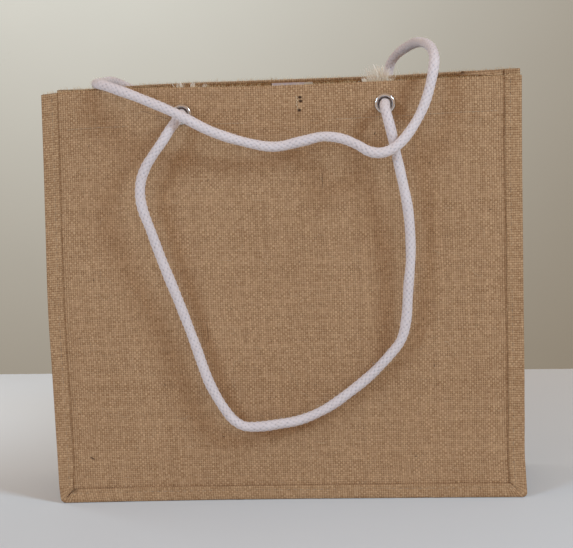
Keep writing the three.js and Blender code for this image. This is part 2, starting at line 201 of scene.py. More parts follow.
def joined(*stretches):
    """Rising values from several stretches, each a start, an end and a step."""
    parts = [np.linspace(a, b, max(2, round(abs(b - a) / step) + 1)) for a, b, step in stretches]
    return np.concatenate([part[:-1] for part in parts[:-1]] + [parts[-1]])


def smooth_table(keys, values, at):
    """A cubic through a table's points, whose slope at each is that between its neighbours."""
    row = np.arange(len(keys))
    before, after = np.maximum(row - 1, 0), np.minimum(row + 1, len(keys) - 1)
    slope = (values[after] - values[before]) / (keys[after] - keys[before])
    here = np.clip(at, keys[0], keys[-1])
    i = np.clip(np.searchsorted(keys, here) - 1, 0, len(keys) - 2)
    span = keys[i + 1] - keys[i]
    t = (here - keys[i]) / span
    rise = t * t * (3 - 2 * t)
    bend = span * t * (1 - t) * ((1 - t) * slope[i] - t * slope[i + 1])
    return lerp(values[i], values[i + 1], rise) + bend


def either(table, first, at):
    """A table's value at a key: its first column where first is true, its second elsewhere."""
    one, other = (smooth_table(table[:, 0], table[:, k], at) for k in (1, 2))
    return np.where(first, one, other)


def unit(vectors):
    return vectors / np.maximum(np.linalg.norm(vectors, axis=-1, keepdims=True), 1e-12)


def spline_through(points, step):
    """Points a step apart on the smooth curve through the given ones: on each stretch a cubic
    whose end slopes come from the neighbours, weighted by the square root of their distance."""
    first, last = 2 * points[0] - points[1], 2 * points[-1] - points[-2]
    p = np.vstack([first, points, last])
    knot = np.sqrt(np.linalg.norm(np.diff(p, axis=0), axis=1))[:, None]
    p0, p1, p2, p3 = p[:-3], p[1:-2], p[2:-1], p[3:]
    d0, d1, d2 = knot[:-2], knot[1:-1], knot[2:]
    out = ((p1 - p0) / d0 - (p2 - p0) / (d0 + d1) + (p2 - p1) / d1) * d1
    into = ((p2 - p1) / d1 - (p3 - p1) / (d1 + d2) + (p3 - p2) / d2) * d1
    t = np.linspace(0, 1, 60, endpoint=False)[None, :, None]
    a, b, v, w = (x[:, None, :] for x in (p1, p2, out, into))
    curve = a + v * t + (3 * (b - a) - 2 * v - w) * t**2 + (2 * (a - b) + v + w) * t**3
    return spaced(np.vstack([curve.reshape(-1, 3), points[-1:]]), step)


def running_length(line):
    """How far along a line each of its points lies."""
    return np.concatenate([[0], np.cumsum(np.linalg.norm(np.diff(line, axis=0), axis=1))])


def spaced(line, step):
    """The same line with its points an equal distance apart, about a step."""
    along = running_length(line)
    at = np.linspace(0, along[-1], max(2, round(along[-1] / step) + 1))
    return np.stack([np.interp(at, along, line[:, k]) for k in range(3)], axis=1)


def frames_along(line, closed=False):
    """The direction of a line at each point, and two directions across it that turn with it
    as little as possible. On a closed line the leftover turn is spread over its length."""
    ahead = np.roll(line, -1, axis=0) - np.roll(line, 1, axis=0)
    if not closed:
        ahead = np.gradient(line, axis=0)
    ahead = unit(ahead)
    side = np.zeros_like(line)
    start = np.cross(ahead[0], (0.3, 0.2, 0.9))
    side[0] = start / np.linalg.norm(start)
    for i in range(1, len(line)):
        across = side[i - 1] - ahead[i] * (side[i - 1] @ ahead[i])
        side[i] = across / np.linalg.norm(across)
    up = np.cross(ahead, side)
    if closed:
        back = side[-1] - ahead[0] * (side[-1] @ ahead[0])
        turn = -math.atan2(back @ up[0], back @ side[0])
        angle = (turn * np.arange(len(line)) / len(line))[:, None]
        side, up = side * np.cos(angle) + up * np.sin(angle), up * np.cos(angle) - side * np.sin(angle)
    return ahead, side, up


# The walls of the bag


def wall_depth(side, x, z):
    """How far a panel's outer face stands from the middle plane: a straight slope from the
    foot to the mouth, more at the foot's ends, plus a belly that fades out at the seams."""
    left, right = FOOT_BOW[side]
    foot = FOOT_HALF_DEPTH + np.where(x < 0, left, right) * (x / HALF_WIDTH) ** 2
    rise = np.clip(z / HEIGHT, 0, 1)
    from_seam = np.clip(1 - (x / SEAM_ACROSS) ** 2, 0, 1)
    waver = 0.25 * np.sin(x / 0.037 - side) * np.cos(z / 0.061 + side)
    belly = BELLY_DEPTH * np.sin(np.pi * rise) * from_seam * (1 + waver)
    return lerp(foot, MOUTH_HALF_DEPTH, rise) + belly


def place(side, across, up, inset):
    """A point on a wall: across and up run to the bag's own edges, wherever these waver, and
    inset is the distance behind the panel's outer face. side may differ from point to point."""
    across, up, inset = np.broadcast_arrays(across, up, inset)
    front = np.broadcast_to(np.asarray(side) < 0, across.shape)
    z = up * either(MOUTH_EDGES, front, across) / HEIGHT
    x = across * either(SIDE_EDGES, across < 0, z) / HALF_WIDTH
    y = np.where(front, inset - wall_depth(FRONT, x, z), wall_depth(BACK, x, z) - inset)
    return np.stack([x, y, z], axis=-1)


def seat_of(eyelet):
    """An eyelet's middle on the panel's outer face, and three directions: across, out of the
    panel and up along it."""
    side, x, z = eyelet["side"], eyelet["x"], eyelet["z"]

    def at(dx, dz):
        return np.array([x + dx, side * float(wall_depth(side, x + dx, z + dz)), z + dz])

    out = np.cross(at(0.004, 0) - at(-0.004, 0), at(0, 0.004) - at(0, -0.004))
    out *= np.sign(out[1] * side) / np.linalg.norm(out)
    across = unit(np.cross(out, (0, 0, 1)))
    return at(0, 0), across, out, np.cross(across, out)


def from_seat(eyelet, points):
    """Points given across, out of and up along the panel at an eyelet, put in their place."""
    centre, across, out, up = seat_of(eyelet)
    return centre + points @ np.stack([across, out, up])


def cloth_waver(side, x, z):
    """The shallow unevenness of stiff cloth: a few long waves and finer puckers that grow
    towards the seams, all of them gone at the seams themselves and beside the eyelets."""
    from_seam = np.clip((SEAM_ACROSS - 0.002 - np.abs(x)) / 0.030, 0, 1)
    from_foot = np.clip((z - 0.015) / 0.030, 0, 1)
    from_mouth = np.clip((0.350 - z) / 0.020, 0, 1)
    phase = 1.3 * side
    long_waves = (
        0.00045 * np.sin(x / 0.021 + 1.7 * np.sin(z / 0.083) + phase)
        + 0.00040 * np.sin(x / 0.047 - z / 0.036 + 2.1 + phase)
        + 0.00030 * np.sin(z / 0.029 + 1.1 * np.sin(x / 0.052) - phase)
    )
    near_seam = bump(from_seam, 0.35, 0.35) + bump(from_foot, 0.35, 0.35)
    puckers = 0.00012 * np.sin(z / 0.0061 + 3 * np.sin(x / 0.019)) * near_seam
    puckers = puckers + 0.00012 * np.sin(x / 0.0067 + 2 * np.sin(z / 0.023)) * near_seam
    edges = from_seam * from_foot * from_mouth
    clear = 1.0
    for eyelet in EYELETS.values():
        if eyelet["side"] == side:
            far = np.hypot(x - eyelet["x"], z - eyelet["z"])
            clear = clear * ramp(far, 0.010, 0.022)
    return (long_waves + puckers) * edges * clear


# Meshes


def grid_quads(rows, columns, around=False):
    """The corners of a grid's quads; around joins the last column to the first."""
    r = np.arange(rows - 1)[:, None]
    c = np.arange(columns if around else columns - 1)[None, :]
    right = (c + 1) % columns
    corners = (r * columns + c, r * columns + right, (r + 1) * columns + right, (r + 1) * columns + c)
    return np.stack(np.broadcast_arrays(*corners), -1).reshape(-1, 4)


def face_inwards(points, quads):
    """Whether the quads of a shape face inwards: then the volume in them comes out negative."""
    a, b, c, d = (points[quads[:, k]] for k in range(4))
    return (a * np.cross(b, c)).sum() + (a * np.cross(c, d)).sum() < 0


def turned_out(points, quads):
    """The quads with their faces outwards."""
    return quads[:, ::-1] if face_inwards(points, quads) else quads


def add_piece(name, points, faces, material, corner_uv=None, values=None, crease=50):
    """Adds a mesh object that rides on the bag, with its UVs per face corner in metres of
    cloth, and one value per point in each of the named attributes."""
    mesh = bpy.data.meshes.new(name)
    mesh.from_pydata(points.reshape(-1, 3), [], faces)
    if corner_uv is not None:
        layer = mesh.uv_layers.new(name="Cloth")
        layer.data.foreach_set("uv", np.ascontiguousarray(corner_uv, np.float32).ravel())
    for label, numbers in (values or {}).items():
        layer = mesh.attributes.new(label, "FLOAT", "POINT")
        layer.data.foreach_set("value", np.ascontiguousarray(numbers, np.float32).ravel())
    mesh.polygons.foreach_set("use_smooth", np.ones(len(mesh.polygons), bool))
    mesh.set_sharp_from_angle(angle=math.radians(crease))
    mesh.validate()
    piece = bpy.data.objects.new(name, mesh)
    bpy.context.scene.collection.objects.link(piece)
    mesh.materials.append(material)
    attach(piece, "root")
    return piece


def slab_faces(rows, columns, keep):
    """The quads of a closed slab: a front grid, a back grid turned round, and a wall along
    every edge that a kept cell shares with no other kept cell."""
    keep = np.ones((rows - 1, columns - 1), bool) if keep is None else keep
    index = np.arange(rows * columns).reshape(rows, columns)
    other = rows * columns
    front = grid_quads(rows, columns)[keep.ravel()]
    padded = np.pad(keep, 1)
    below, above = padded[:-1, 1:-1], padded[1:, 1:-1]
    before, after = padded[1:-1, :-1], padded[1:-1, 1:]

    def wall(start, end, where):
        s, e = start[where], end[where]
        return np.stack([e, s, s + other, e + other], axis=-1)

    return np.concatenate([
        front,
        front[:, ::-1] + other,
        wall(index[:, :-1], index[:, 1:], above & ~below),
        wall(index[:, 1:], index[:, :-1], below & ~above),
        wall(index[1:], index[:-1], after & ~before),
        wall(index[:-1], index[1:], before & ~after),
    ])


def add_slab(name, outer, inner, uv, material, keep=None, gap=0.0, inner_shade=1.0):
    """A closed slab of cloth between two grids of points, with a UV in metres per point. The
    attribute named inside holds the given strength of painted shade, darker and warmer, on the
    inner grid and 0 on the outer, and the one named gap the given painted shade of a gap on the
    outer grid."""
    rows, columns = outer.shape[:2]
    points = np.concatenate([outer.reshape(-1, 3), inner.reshape(-1, 3)])
    quads = slab_faces(rows, columns, keep)
    used, quads = np.unique(quads, return_inverse=True)
    points, quads = points[used], quads.reshape(-1, 4)
    uv = np.concatenate([uv.reshape(-1, 2)] * 2)[used]
    on_inner, spot = used >= rows * columns, used % (rows * columns)
    inner_shade, gap = (np.broadcast_to(v, (rows, columns)).ravel()[spot] for v in (inner_shade, gap))
    values = {"inside": on_inner * inner_shade, "gap": ~on_inner * gap}
    quads = turned_out(points, quads)
    return add_piece(name, points, quads, material, uv[quads.ravel()], values)


def tube_parts(line, radii, around, closed):
    """A tube's points, quads and corner UVs: circles of the given radii carried along a line,
    with the ends left open. radii has a row for each ring and a column for each point."""
    _, side, up = frames_along(line, closed)
    turn = 2 * np.pi * np.arange(around) / around
    ring = side[:, None] * np.cos(turn)[:, None] + up[:, None] * np.sin(turn)[:, None]
    points = line[:, None] + ring * radii[:, :, None]
    rows = len(line) + (1 if closed else 0)
    quads = grid_quads(rows, around, around=True)
    step = running_length(line)[-1] / (len(line) - 1)
    cell = np.arange(len(quads))
    r, c = cell // around, cell % around
    width = 2 * np.pi * float(radii.mean()) / around
    u = np.stack([c, c + 1, c + 1, c], axis=-1) * width
    v = np.stack([r, r, r + 1, r + 1], axis=-1) * step
    return points.reshape(-1, 3), quads % (len(line) * around), np.stack([u, v], axis=-1)


def strand_parts(lines, radii, sides):
    """Many short strands at once: circles of a few points carried along each line, with the
    ends closed by one face each. lines has a strand, a point and x, y, z; radii goes with it."""
    count, length = lines.shape[:2]
    ahead = unit(np.gradient(lines, axis=1))
    chord = unit(lines[:, -1] - lines[:, 0])
    helper = np.where(np.abs(chord[:, 2:3]) < 0.7, (0.0, 0.0, 1.0), (0.0, 1.0, 0.0))
    side = unit(np.cross(ahead, helper[:, None]))
    up = np.cross(ahead, side)
    turn = 2 * np.pi * np.arange(sides) / sides
    ring = side[:, :, None] * np.cos(turn)[:, None] + up[:, :, None] * np.sin(turn)[:, None]
    points = lines[:, :, None] + ring * radii[:, :, None, None]
    per_strand = length * sides
    first = np.arange(count)[:, None, None] * per_strand
    quads = (first + grid_quads(length, sides, around=True)).reshape(-1, 4)
    cap = np.arange(sides)
    ends = [first[:, 0] + cap[::-1], first[:, 0] + per_strand - sides + cap]
    return points.reshape(-1, 3), quads, np.concatenate(ends)


def add_strands(name, lines, radii, material, sides, shades=None):
    """An object made of many short closed strands, each with a shade of its own, given or
    random."""
    points, quads, caps = strand_parts(lines, radii, sides)
    if face_inwards(points, quads):
        quads, caps = quads[:, ::-1], caps[:, ::-1]
    faces = quads.tolist() + caps.tolist()
    if shades is None:
        shades = np.random.default_rng(len(lines)).random(len(lines))
    per_strand = lines.shape[1] * sides
    return add_piece(name, points, faces, material, values={"shade": np.repeat(shades, per_strand)})


def ring_parts(profile, segments):
    """A closed ring: a closed profile of radius and height turned about the height axis.
    Points come across, out and up, as an eyelet's seat takes them."""
    turn = 2 * np.pi * np.arange(segments) / segments
    radius, out = profile[:, 0], profile[:, 1]
    points = np.stack(np.broadcast_arrays(
        radius[None, :] * np.cos(turn)[:, None],
        out[None, :],
        radius[None, :] * np.sin(turn)[:, None],
    ), axis=-1)
    rows, columns = points.shape[:2]
    quads = grid_quads(rows + 1, columns, around=True) % (rows * columns)
    return points.reshape(-1, 3), quads


def rounded_profile(corners, per_side):
    """A closed profile with its corners eased: each corner is drawn as the curve that starts
    and ends at the middles of its two sides."""
    before, after = np.roll(corners, 1, axis=0), np.roll(corners, -1, axis=0)
    start, end = (before + corners) / 2, (corners + after) / 2
    t = np.linspace(0, 1, per_side, endpoint=False)[None, :, None]
    curve = start[:, None] * (1 - t) ** 2 + 2 * corners[:, None] * t * (1 - t) + end[:, None] * t**2
    return curve.reshape(-1, 2)


# Materials


class Term:
    """A number inside a node tree. Sums, products and the like of terms add the nodes that
    work them out, so that a pattern reads as it would on paper."""

    def __init__(self, tree, socket):
        self.tree, self.socket = tree, socket

    def __add__(self, other):
        return maths("ADD", self, other)

    def __sub__(self, other):
        return maths("SUBTRACT", self, other)

    def __mul__(self, other):
        return maths("MULTIPLY", self, other)

    def __truediv__(self, other):
        return maths("DIVIDE", self, other)

    def __rsub__(self, other):
        return maths("SUBTRACT", other, self)


def feed(tree, socket, value):
    """Gives a socket a number or a colour, or links a term to it."""
    if isinstance(value, Term):
        tree.links.new(value.socket, socket)
    else:
        socket.default_value = value


def maths(operation, *values, clamp=False):
    """The result of one operation on terms and numbers, on request kept between 0 and 1."""
    tree = next(v.tree for v in values if isinstance(v, Term))
    node = tree.nodes.new("ShaderNodeMath")
    node.operation, node.use_clamp = operation, clamp
    for socket, value in zip(node.inputs, values):
        feed(tree, socket, value)
    return Term(tree, node.outputs[0])


def add_node(tree, kind, inputs=(), **settings):
    """A node with its settings, and its inputs by name, from numbers or terms."""
    node = tree.nodes.new(kind)
    for name, value in settings.items():
        setattr(node, name, value)
    for name, value in dict(inputs).items():
        feed(tree, node.inputs[name], value)
    return node


def noise(tree, spot, scale, detail=2.0):
    """Soft random values about 0.5, one blob for each 1/scale metres."""
    inputs = {"Vector": spot, "Scale": scale, "Detail": detail, "Roughness": 0.5}
    return Term(tree, add_node(tree, "ShaderNodeTexNoise", inputs).outputs["Fac"])


def vector(tree, x, y, z=0.0):
    """Three numbers put together as a place."""
    node = add_node(tree, "ShaderNodeCombineXYZ", {"X": x, "Y": y, "Z": z})
    return Term(tree, node.outputs[0])


def random_for(tree, *numbers):
    """A random value that belongs to two or three numbers, such as a thread's own and its
    kind."""
    node = add_node(tree, "ShaderNodeTexWhiteNoise", {"Vector": vector(tree, *numbers)})
    return Term(tree, node.outputs["Value"])


def object_place(tree):
    """Where a point is in the part's frame."""
    return Term(tree, add_node(tree, "ShaderNodeTexCoord").outputs["Object"])


def cloth_place(tree):
    """Where a point is on its own cloth."""
    return Term(tree, add_node(tree, "ShaderNodeUVMap", uv_map="Cloth").outputs["UV"])


def own_value(tree, name):
    """A point's value in one of its piece's attributes."""
    return Term(tree, add_node(tree, "ShaderNodeAttribute", attribute_name=name).outputs["Fac"])


def across_and_along(tree, spot):
    """The first two numbers of a place."""
    split = add_node(tree, "ShaderNodeSeparateXYZ", {"Vector": spot})
    return Term(tree, split.outputs[0]), Term(tree, split.outputs[1])


def clamped(term):
    """A term kept between 0 and 1."""
    return maths("ADD", term, 0.0, clamp=True)


def tinted(colour, factors=(1.0, 1.0, 1.0)):
    """A colour, its red, green and blue each times a factor, as a shader takes it."""
    return (*(c * f for c, f in zip(colour, factors)), 1.0)


def between(tree, share, low, high, blend="MIX"):
    """A colour from low at share 0 to high at share 1, or to low times high with the blend
    named MULTIPLY."""
    node = tree.nodes.new("ShaderNodeMix")
    node.data_type, node.blend_type = "RGBA", blend
    feed(tree, node.inputs["Factor"], share)
    feed(tree, node.inputs[6], low)
    feed(tree, node.inputs[7], high)
    return Term(tree, node.outputs[2])


# Kinds of input that a node group has
NUMBER, PLACE = "NodeSocketFloat", "NodeSocketVector"


def new_group(name, inputs, outputs):
    """A node group with its inputs, each a name, a kind and a value, and the names of its
    outputs. It comes back with a term for each input."""
    tree = bpy.data.node_groups.new(name, "ShaderNodeTree")
    for label, kind, default in inputs:
        socket = tree.interface.new_socket(label, in_out="INPUT", socket_type=kind)
        socket.default_value = default
    for label in outputs:
        tree.interface.new_socket(label, in_out="OUTPUT", socket_type=NUMBER)
    entry = tree.nodes.new("NodeGroupInput")
    return tree, [Term(tree, socket) for socket in entry.outputs[: len(inputs)]]


def finish_group(tree, terms):
    """Makes the terms a group's outputs."""
    leave = tree.nodes.new("NodeGroupOutput")
    for socket, term in zip(leave.inputs, terms):
        feed(tree, socket, term)


def plain_weave_group():
    """Plain weave. Each thread's middle rises and falls as a sine along it, one way on odd
    threads and the other on even ones, and its section is a half round; the higher of the
    two crossing threads shows. Threads wander, and each thread has a width and a shade of
    its own, and so has each crossing."""
    tree, (spot, warp_pitch, weft_pitch, warp_cover, weft_cover, wander, slub) = new_group(
        "Plain weave",
        [
            ("Cloth place", PLACE, (0.0, 0.0, 0.0)),
            ("Warp pitch", NUMBER, 0.0020),
            ("Weft pitch", NUMBER, 0.0018),
            ("Warp cover", NUMBER, 0.8),
            ("Weft cover", NUMBER, 0.9),
            ("Wander", NUMBER, 0.5),
            ("Slub", NUMBER, 0.4),
        ],
        ["Height", "Shade", "Hole", "Warp on top"],
    )
    across, along = across_and_along(tree, spot)

    def thread(here, run, pitch, cover, kind):
        """One family of threads: a running count of them and each one's number, its way of
        rising, its section, where it covers, and its shade."""
        drift = noise(tree, vector(tree, here * 45, run * 20, kind), 1.0, 1.0) - 0.5
        stray = noise(tree, vector(tree, here * 420, run * 70, kind), 1.0, 1.0) - 0.5
        count = here / pitch + (drift * 2.2 + stray * 0.6) * wander
        number = maths("FLOOR", count)
        middle = (count - number) * 2 - 1
        own = random_for(tree, number, kind)
        thick = noise(tree, vector(tree, number * 7.31, run * 170, kind), 1.0, 1.0)
        width = cover + (own - 0.5) * slub * 0.2 + (thick - 0.5) * slub
        section = maths("SQRT", maths("MAXIMUM", 1 - maths("POWER", middle / width, 2.0), 0.0))
        odd = 1 - maths("MODULO", maths("ABSOLUTE", number), 2.0) * 2
        inside = maths("LESS_THAN", maths("ABSOLUTE", middle), width)
        streak = noise(tree, vector(tree, number * 3.7, run * 110, kind), 1.0, 1.0)
        return count, number, odd, section, inside, own * 0.13 + streak * 0.16

    warp_count, warp_number, warp_odd, warp_section, warp_inside, warp_shade = thread(
        across, along, warp_pitch, warp_cover, 0.0)
    weft_count, weft_number, weft_odd, weft_section, weft_inside, weft_shade = thread(
        along, across, weft_pitch, weft_cover, 5.0)
    warp_rise = warp_odd * maths("SINE", weft_count * math.pi)
    weft_rise = weft_odd * maths("SINE", warp_count * math.pi) * -1.0
    warp_height = (warp_section * 0.55 + warp_rise * 0.45) * warp_inside + (warp_inside - 1)
    weft_height = (weft_section * 0.55 + weft_rise * 0.45) * weft_inside + (weft_inside - 1)
    height = maths("MAXIMUM", warp_height, weft_height)
    warp_shows = maths("GREATER_THAN", warp_height, weft_height)
    crossing = random_for(tree, warp_number, weft_number, 3.0)
    shade = warp_shade * warp_shows + weft_shade * (1 - warp_shows)
    shade = shade + crossing * 0.34 + 0.185
    hole = maths("SUBTRACT", 0.05, height, clamp=True)
    finish_group(tree, [height, shade, hole, warp_shows])


def patina_group():
    """Uneven tone: broad soft patches, finer blotches and rare dark specks."""
    tree, (spot, broad, fine) = new_group(
        "Uneven tone",
        [
            ("Place", PLACE, (0.0, 0.0, 0.0)),
            ("Broad scale", NUMBER, 14.0),
            ("Fine scale", NUMBER, 120.0),
        ],
        ["Patch", "Blotch", "Speck"],
    )
    patch = noise(tree, spot, broad, 2.0)
    blotch = noise(tree, spot, fine, 3.0)
    speck = maths("GREATER_THAN", noise(tree, spot, fine * 4, 1.0), 0.74)
    finish_group(tree, [patch, blotch, speck])


def new_material(name):
    """A new material, its node tree and its shader."""
    material = bpy.data.materials.new(name)
    material.use_nodes = True
    tree = material.node_tree
    return material, tree, tree.nodes["Principled BSDF"]


def place_group(tree, group, inputs):
    """A group in a material, with its outputs as terms by name."""
    node = tree.nodes.new("ShaderNodeGroup")
    node.node_tree = bpy.data.node_groups[group]
    for name, value in inputs.items():
        feed(tree, node.inputs[name], value)
    return {socket.name: Term(tree, socket) for socket in node.outputs}


def set_shader(shader, roughness, metallic=0.0, sheen=0.0, specular=0.5):
    shader.inputs["Roughness"].default_value = roughness
    shader.inputs["Metallic"].default_value = metallic
    shader.inputs["Sheen Weight"].default_value = sheen
    shader.inputs["Sheen Roughness"].default_value = 0.5
    shader.inputs["Specular IOR Level"].default_value = specular


def bump_into(tree, shader, height, strength, distance):
    """Tilts a shader's normals as a surface with that height would."""
    inputs = {"Height": height, "Strength": strength, "Distance": distance}
    node = add_node(tree, "ShaderNodeBump", inputs)
    tree.links.new(node.outputs["Normal"], shader.inputs["Normal"])


def jute_material(name, colour, cover, extras):
    """Woven jute: threads of many browns, dull and hairy, with painted light and shade: the
    threads' crowns lighter and the valleys between them darker, warp crossings lighter than
    weft ones as side lamps light them, and painted shade where the threads leave a hole. cover
    says how much of its pitch a warp and a weft thread fill. The attribute named inside says
    how much painted shade, darker and warmer, the cloth has, up to 1 on its inner face, and the
    one named gap where painted shade fills a gap. extras are functions that give the painted
    shade that a piece has besides, in its holes and gaps."""
    cloth = bpy.context.scene.tote_cloth
    material, tree, shader = new_material(name)
    set_shader(shader, 0.9, sheen=0.06, specular=0.2)
    uv = cloth_place(tree)
    weave = place_group(tree, "Plain weave", {
        "Cloth place": uv,
        "Warp pitch": cloth.warp_pitch,
        "Weft pitch": cloth.weft_pitch,
        "Warp cover": cover[0],
        "Weft cover": cover[1],
        "Wander": cloth.thread_wander,
        "Slub": cloth.slub,
    })
    tone = place_group(tree, "Uneven tone", {
        "Place": object_place(tree), "Broad scale": 13.0, "Fine scale": 520.0,
    })
    light, dark = tinted(colour, (1.42, 1.52, 1.66)), tinted(colour, (0.58, 0.48, 0.38))
    # share paints light and shade besides the threads' own tones: the Height term lightens the crowns
    # and darkens the valleys, and the Warp on top term paints warp crossings lighter than weft ones, as
    # side lamps light them
    share = weave["Shade"] - 0.5 + (tone["Blotch"] - 0.5) * 0.28 + (tone["Patch"] - 0.5) * 0.2
    share = share + (weave["Warp on top"] - 0.5) * 0.21 + (weave["Height"] - 0.62) * 0.45 + 0.52
    threads = between(tree, clamped(share), dark, light)
    # Holes between threads, gaps, needle holes and parted threads are painted in shade, towards the dark
    # colour below
    holes = maths("MULTIPLY", weave["Hole"], cloth.hole_darkness, clamp=True)
    holes = maths("MAXIMUM", holes, own_value(tree, "gap"))
    for extra in extras:
        holes = maths("MAXIMUM", holes, extra(tree, uv))
    outside = between(tree, holes, threads, tinted(colour, (0.13, 0.10, 0.09)))
    # The tint below is multiplied in as painted shade, darker and warmer, as far as the attribute named
    # inside says: fully on inner faces, less at the fold's top
    inner_shade_tint = (0.70, 0.53, 0.33, 1.0)
    base = between(tree, own_value(tree, "inside"), outside, inner_shade_tint, "MULTIPLY")
    tree.links.new(base.socket, shader.inputs["Base Color"])
    bump_into(tree, shader, weave["Height"], 0.7, 0.0005)
    return material


def needle_hole_shade(tree, uv):
    """Small spots of painted shade in the needle holes, in a row at the stitches' pitch, on the
    line v = 0 of the binding.
    """
    pitch = bpy.context.scene.tote_cloth.stitch_pitch
    radius = 0.0009
    u, v = across_and_along(tree, uv)
    count = u / pitch
    nearest = maths("ROUND", count)
    off = (count - nearest) * pitch
    far = maths("SQRT", off * off + v * v)
    clear = random_for(tree, nearest, 9.0) * 0.9
    return maths("SUBTRACT", 1.0, far / radius, clamp=True) * clear


# Where the front panel's threads have parted, across and up, and how wide the gaps are
PARTED = ((0.0189, 0.3428, 0.00165), (0.0194, 0.3396, 0.00175), (0.0182, 0.3322, 0.00165))


def parted_thread_shade(tree, uv):
    """Painted shade in the small gaps where the weave has been snagged, at places on the front panel."""
    u, v = across_and_along(tree, uv)
    ragged = (noise(tree, vector(tree, u * 1200, v * 1200), 1.0) - 0.5) * 0.0008
    total = None
    for across, up, radius in PARTED:
        a, b = u - (across + CLOTH_START[FRONT]), v - up
        far = maths("SQRT", a * a + b * b * 1.6) + ragged
        gap = maths("SUBTRACT", 1.9, far / (radius * 0.64), clamp=True)
        total = gap if total is None else maths("MAXIMUM", total, gap)
    return total


def cotton_material(name, colour, groove_shade):
    """Soft cotton: off-white, with painted grey shade in patches deep between the plaited
    strands, where the attribute named shade is low."""
    material, tree, shader = new_material(name)
    set_shader(shader, 0.95, sheen=0.25, specular=0.2)
    spot = object_place(tree)
    tone = place_group(tree, "Uneven tone", {"Place": spot, "Broad scale": 40.0, "Fine scale": 700.0})
    # Where the plait's height is low, deep in the grooves, grey is painted in as shade, in uneven
    # patches
    uneven = maths("ADD", (tone["Blotch"] - 0.5) * 5, 0.6, clamp=True)
    deep = maths("SUBTRACT", 1.0, own_value(tree, "shade") * 1.25, clamp=True) * uneven
    share = 1.02 - deep + (tone["Blotch"] - 0.5) * 0.25 + (tone["Patch"] - 0.5) * 0.25
    base = between(tree, clamped(share), tinted(groove_shade), tinted(colour))
    tree.links.new(base.socket, shader.inputs["Base Color"])
    bump_into(tree, shader, noise(tree, spot, 2600.0, 3.0), 0.5, 0.0004)
    return material


def thread_material(name, dark, light):
    """Loose fibres, straws and sewing thread, each strand with a shade of its own."""
    material, tree, shader = new_material(name)
    set_shader(shader, 0.8, sheen=0.1, specular=0.3)
    spot = object_place(tree)
    share = own_value(tree, "shade") * 0.8 + noise(tree, spot, 900.0) * 0.3
    base = between(tree, clamped(share), tinted(dark), tinted(light))
    tree.links.new(base.socket, shader.inputs["Base Color"])
    bump_into(tree, shader, noise(tree, spot, 3000.0), 0.3, 0.0002)
    return material


def nickel_material(colour):
    """Bright plated steel with fine turning marks and light handling wear."""
    material, tree, shader = new_material("Bright nickel")
    set_shader(shader, 0.2, metallic=1.0)
    tone = place_group(tree, "Uneven tone", {
        "Place": object_place(tree), "Broad scale": 180.0, "Fine scale": 1500.0,
    })
    base = between(tree, tone["Blotch"], tinted(colour, [0.72] * 3), tinted(colour))
    tree.links.new(base.socket, shader.inputs["Base Color"])
    rough = tone["Patch"] * 0.22 + tone["Speck"] * 0.2 + 0.08
    tree.links.new(rough.socket, shader.inputs["Roughness"])
    bump_into(tree, shader, tone["Blotch"], 0.08, 0.0002)
    return material


def tape_material(colour):
    """Woven tape: the plain weave again, far finer, in white, with painted shade in its valleys and
    a painted brown shade on its right end.
    """
    material, tree, shader = new_material("White tape")
    set_shader(shader, 0.6, sheen=0.1, specular=0.4)
    uv = cloth_place(tree)
    weave = place_group(tree, "Plain weave", {
        "Cloth place": uv, "Warp pitch": 0.0004, "Weft pitch": 0.0005, "Wander": 0.2, "Slub": 0.1,
    })
    # The weave's valleys are painted darker, as shade
    share = maths("ADD", weave["Height"], 0.5, clamp=True)
    base = between(tree, share, tinted(colour, [0.8] * 3), tinted(colour))
    across, _ = across_and_along(tree, uv)
    # Its right end is painted in a brown shade
    shaded_right_end = maths("MULTIPLY", across - (TAPE_START + 0.0168), 900.0, clamp=True)
    base = between(tree, shaded_right_end, base, (0.58, 0.45, 0.34, 1.0))
    tree.links.new(base.socket, shader.inputs["Base Color"])
    bump_into(tree, shader, weave["Height"], 0.3, 0.0001)
    return material


def stage_material(name, colour, roughness):
    """Plain pale board with a barely uneven tone."""
    material, tree, shader = new_material(name)
    set_shader(shader, roughness, specular=0.2)
    share = noise(tree, object_place(tree), 6.0)
    base = between(tree, share, tinted(colour, [0.96] * 3), tinted(colour))
    tree.links.new(base.socket, shader.inputs["Base Color"])
    return material


# Settings that a user would change, and what those of one kind share

COLOUR = dict(size=3, subtype="COLOR", min=0.0, max=1.0)
POWER = dict(min=0.0, unit="POWER")


class ToteCloth(PropertyGroup):
    """Sizes and colours of the woven pieces."""

    warp_pitch: FloatProperty(
        name="Warp pitch", description="From one upright jute thread to the next",
        default=0.00195, min=0.0005, max=0.005, unit="LENGTH", precision=5,
    )
    weft_pitch: FloatProperty(
        name="Weft pitch", description="From one level jute thread to the next",
        default=0.00179, min=0.0005, max=0.005, unit="LENGTH", precision=5,
    )
    thread_wander: FloatProperty(
        name="Wander", description="How far threads drift from straight, in pitches",
        default=0.55, min=0.0, max=2.0,
    )
    slub: FloatProperty(
        name="Slub", description="How much threads vary in thickness",
        default=0.45, min=0.0, max=1.0,
    )
    # How much painted shade fills the gaps between threads
    hole_darkness: FloatProperty(
        name="Hole darkness", description="How dark the gaps between threads are",
        default=2.5, min=0.0, max=5.0,
    )
    stitch_pitch: FloatProperty(
        name="Stitch pitch", description="From one stitch to the next",
        default=0.0056, min=0.002, max=0.01, unit="LENGTH", precision=4,
    )
    jute_colour: FloatVectorProperty(
        name="Jute", description="Colour of the panels and gusset",
        default=(0.420, 0.254, 0.132), **COLOUR,
    )
    binding_colour: FloatVectorProperty(
        name="Binding", description="Colour of the bound edges",
        default=(0.423, 0.258, 0.134), **COLOUR,
    )
    label_colour: FloatVectorProperty(
        name="Label", description="Colour of the label's tape",
        default=(0.64, 0.49, 0.46), **COLOUR,
    )


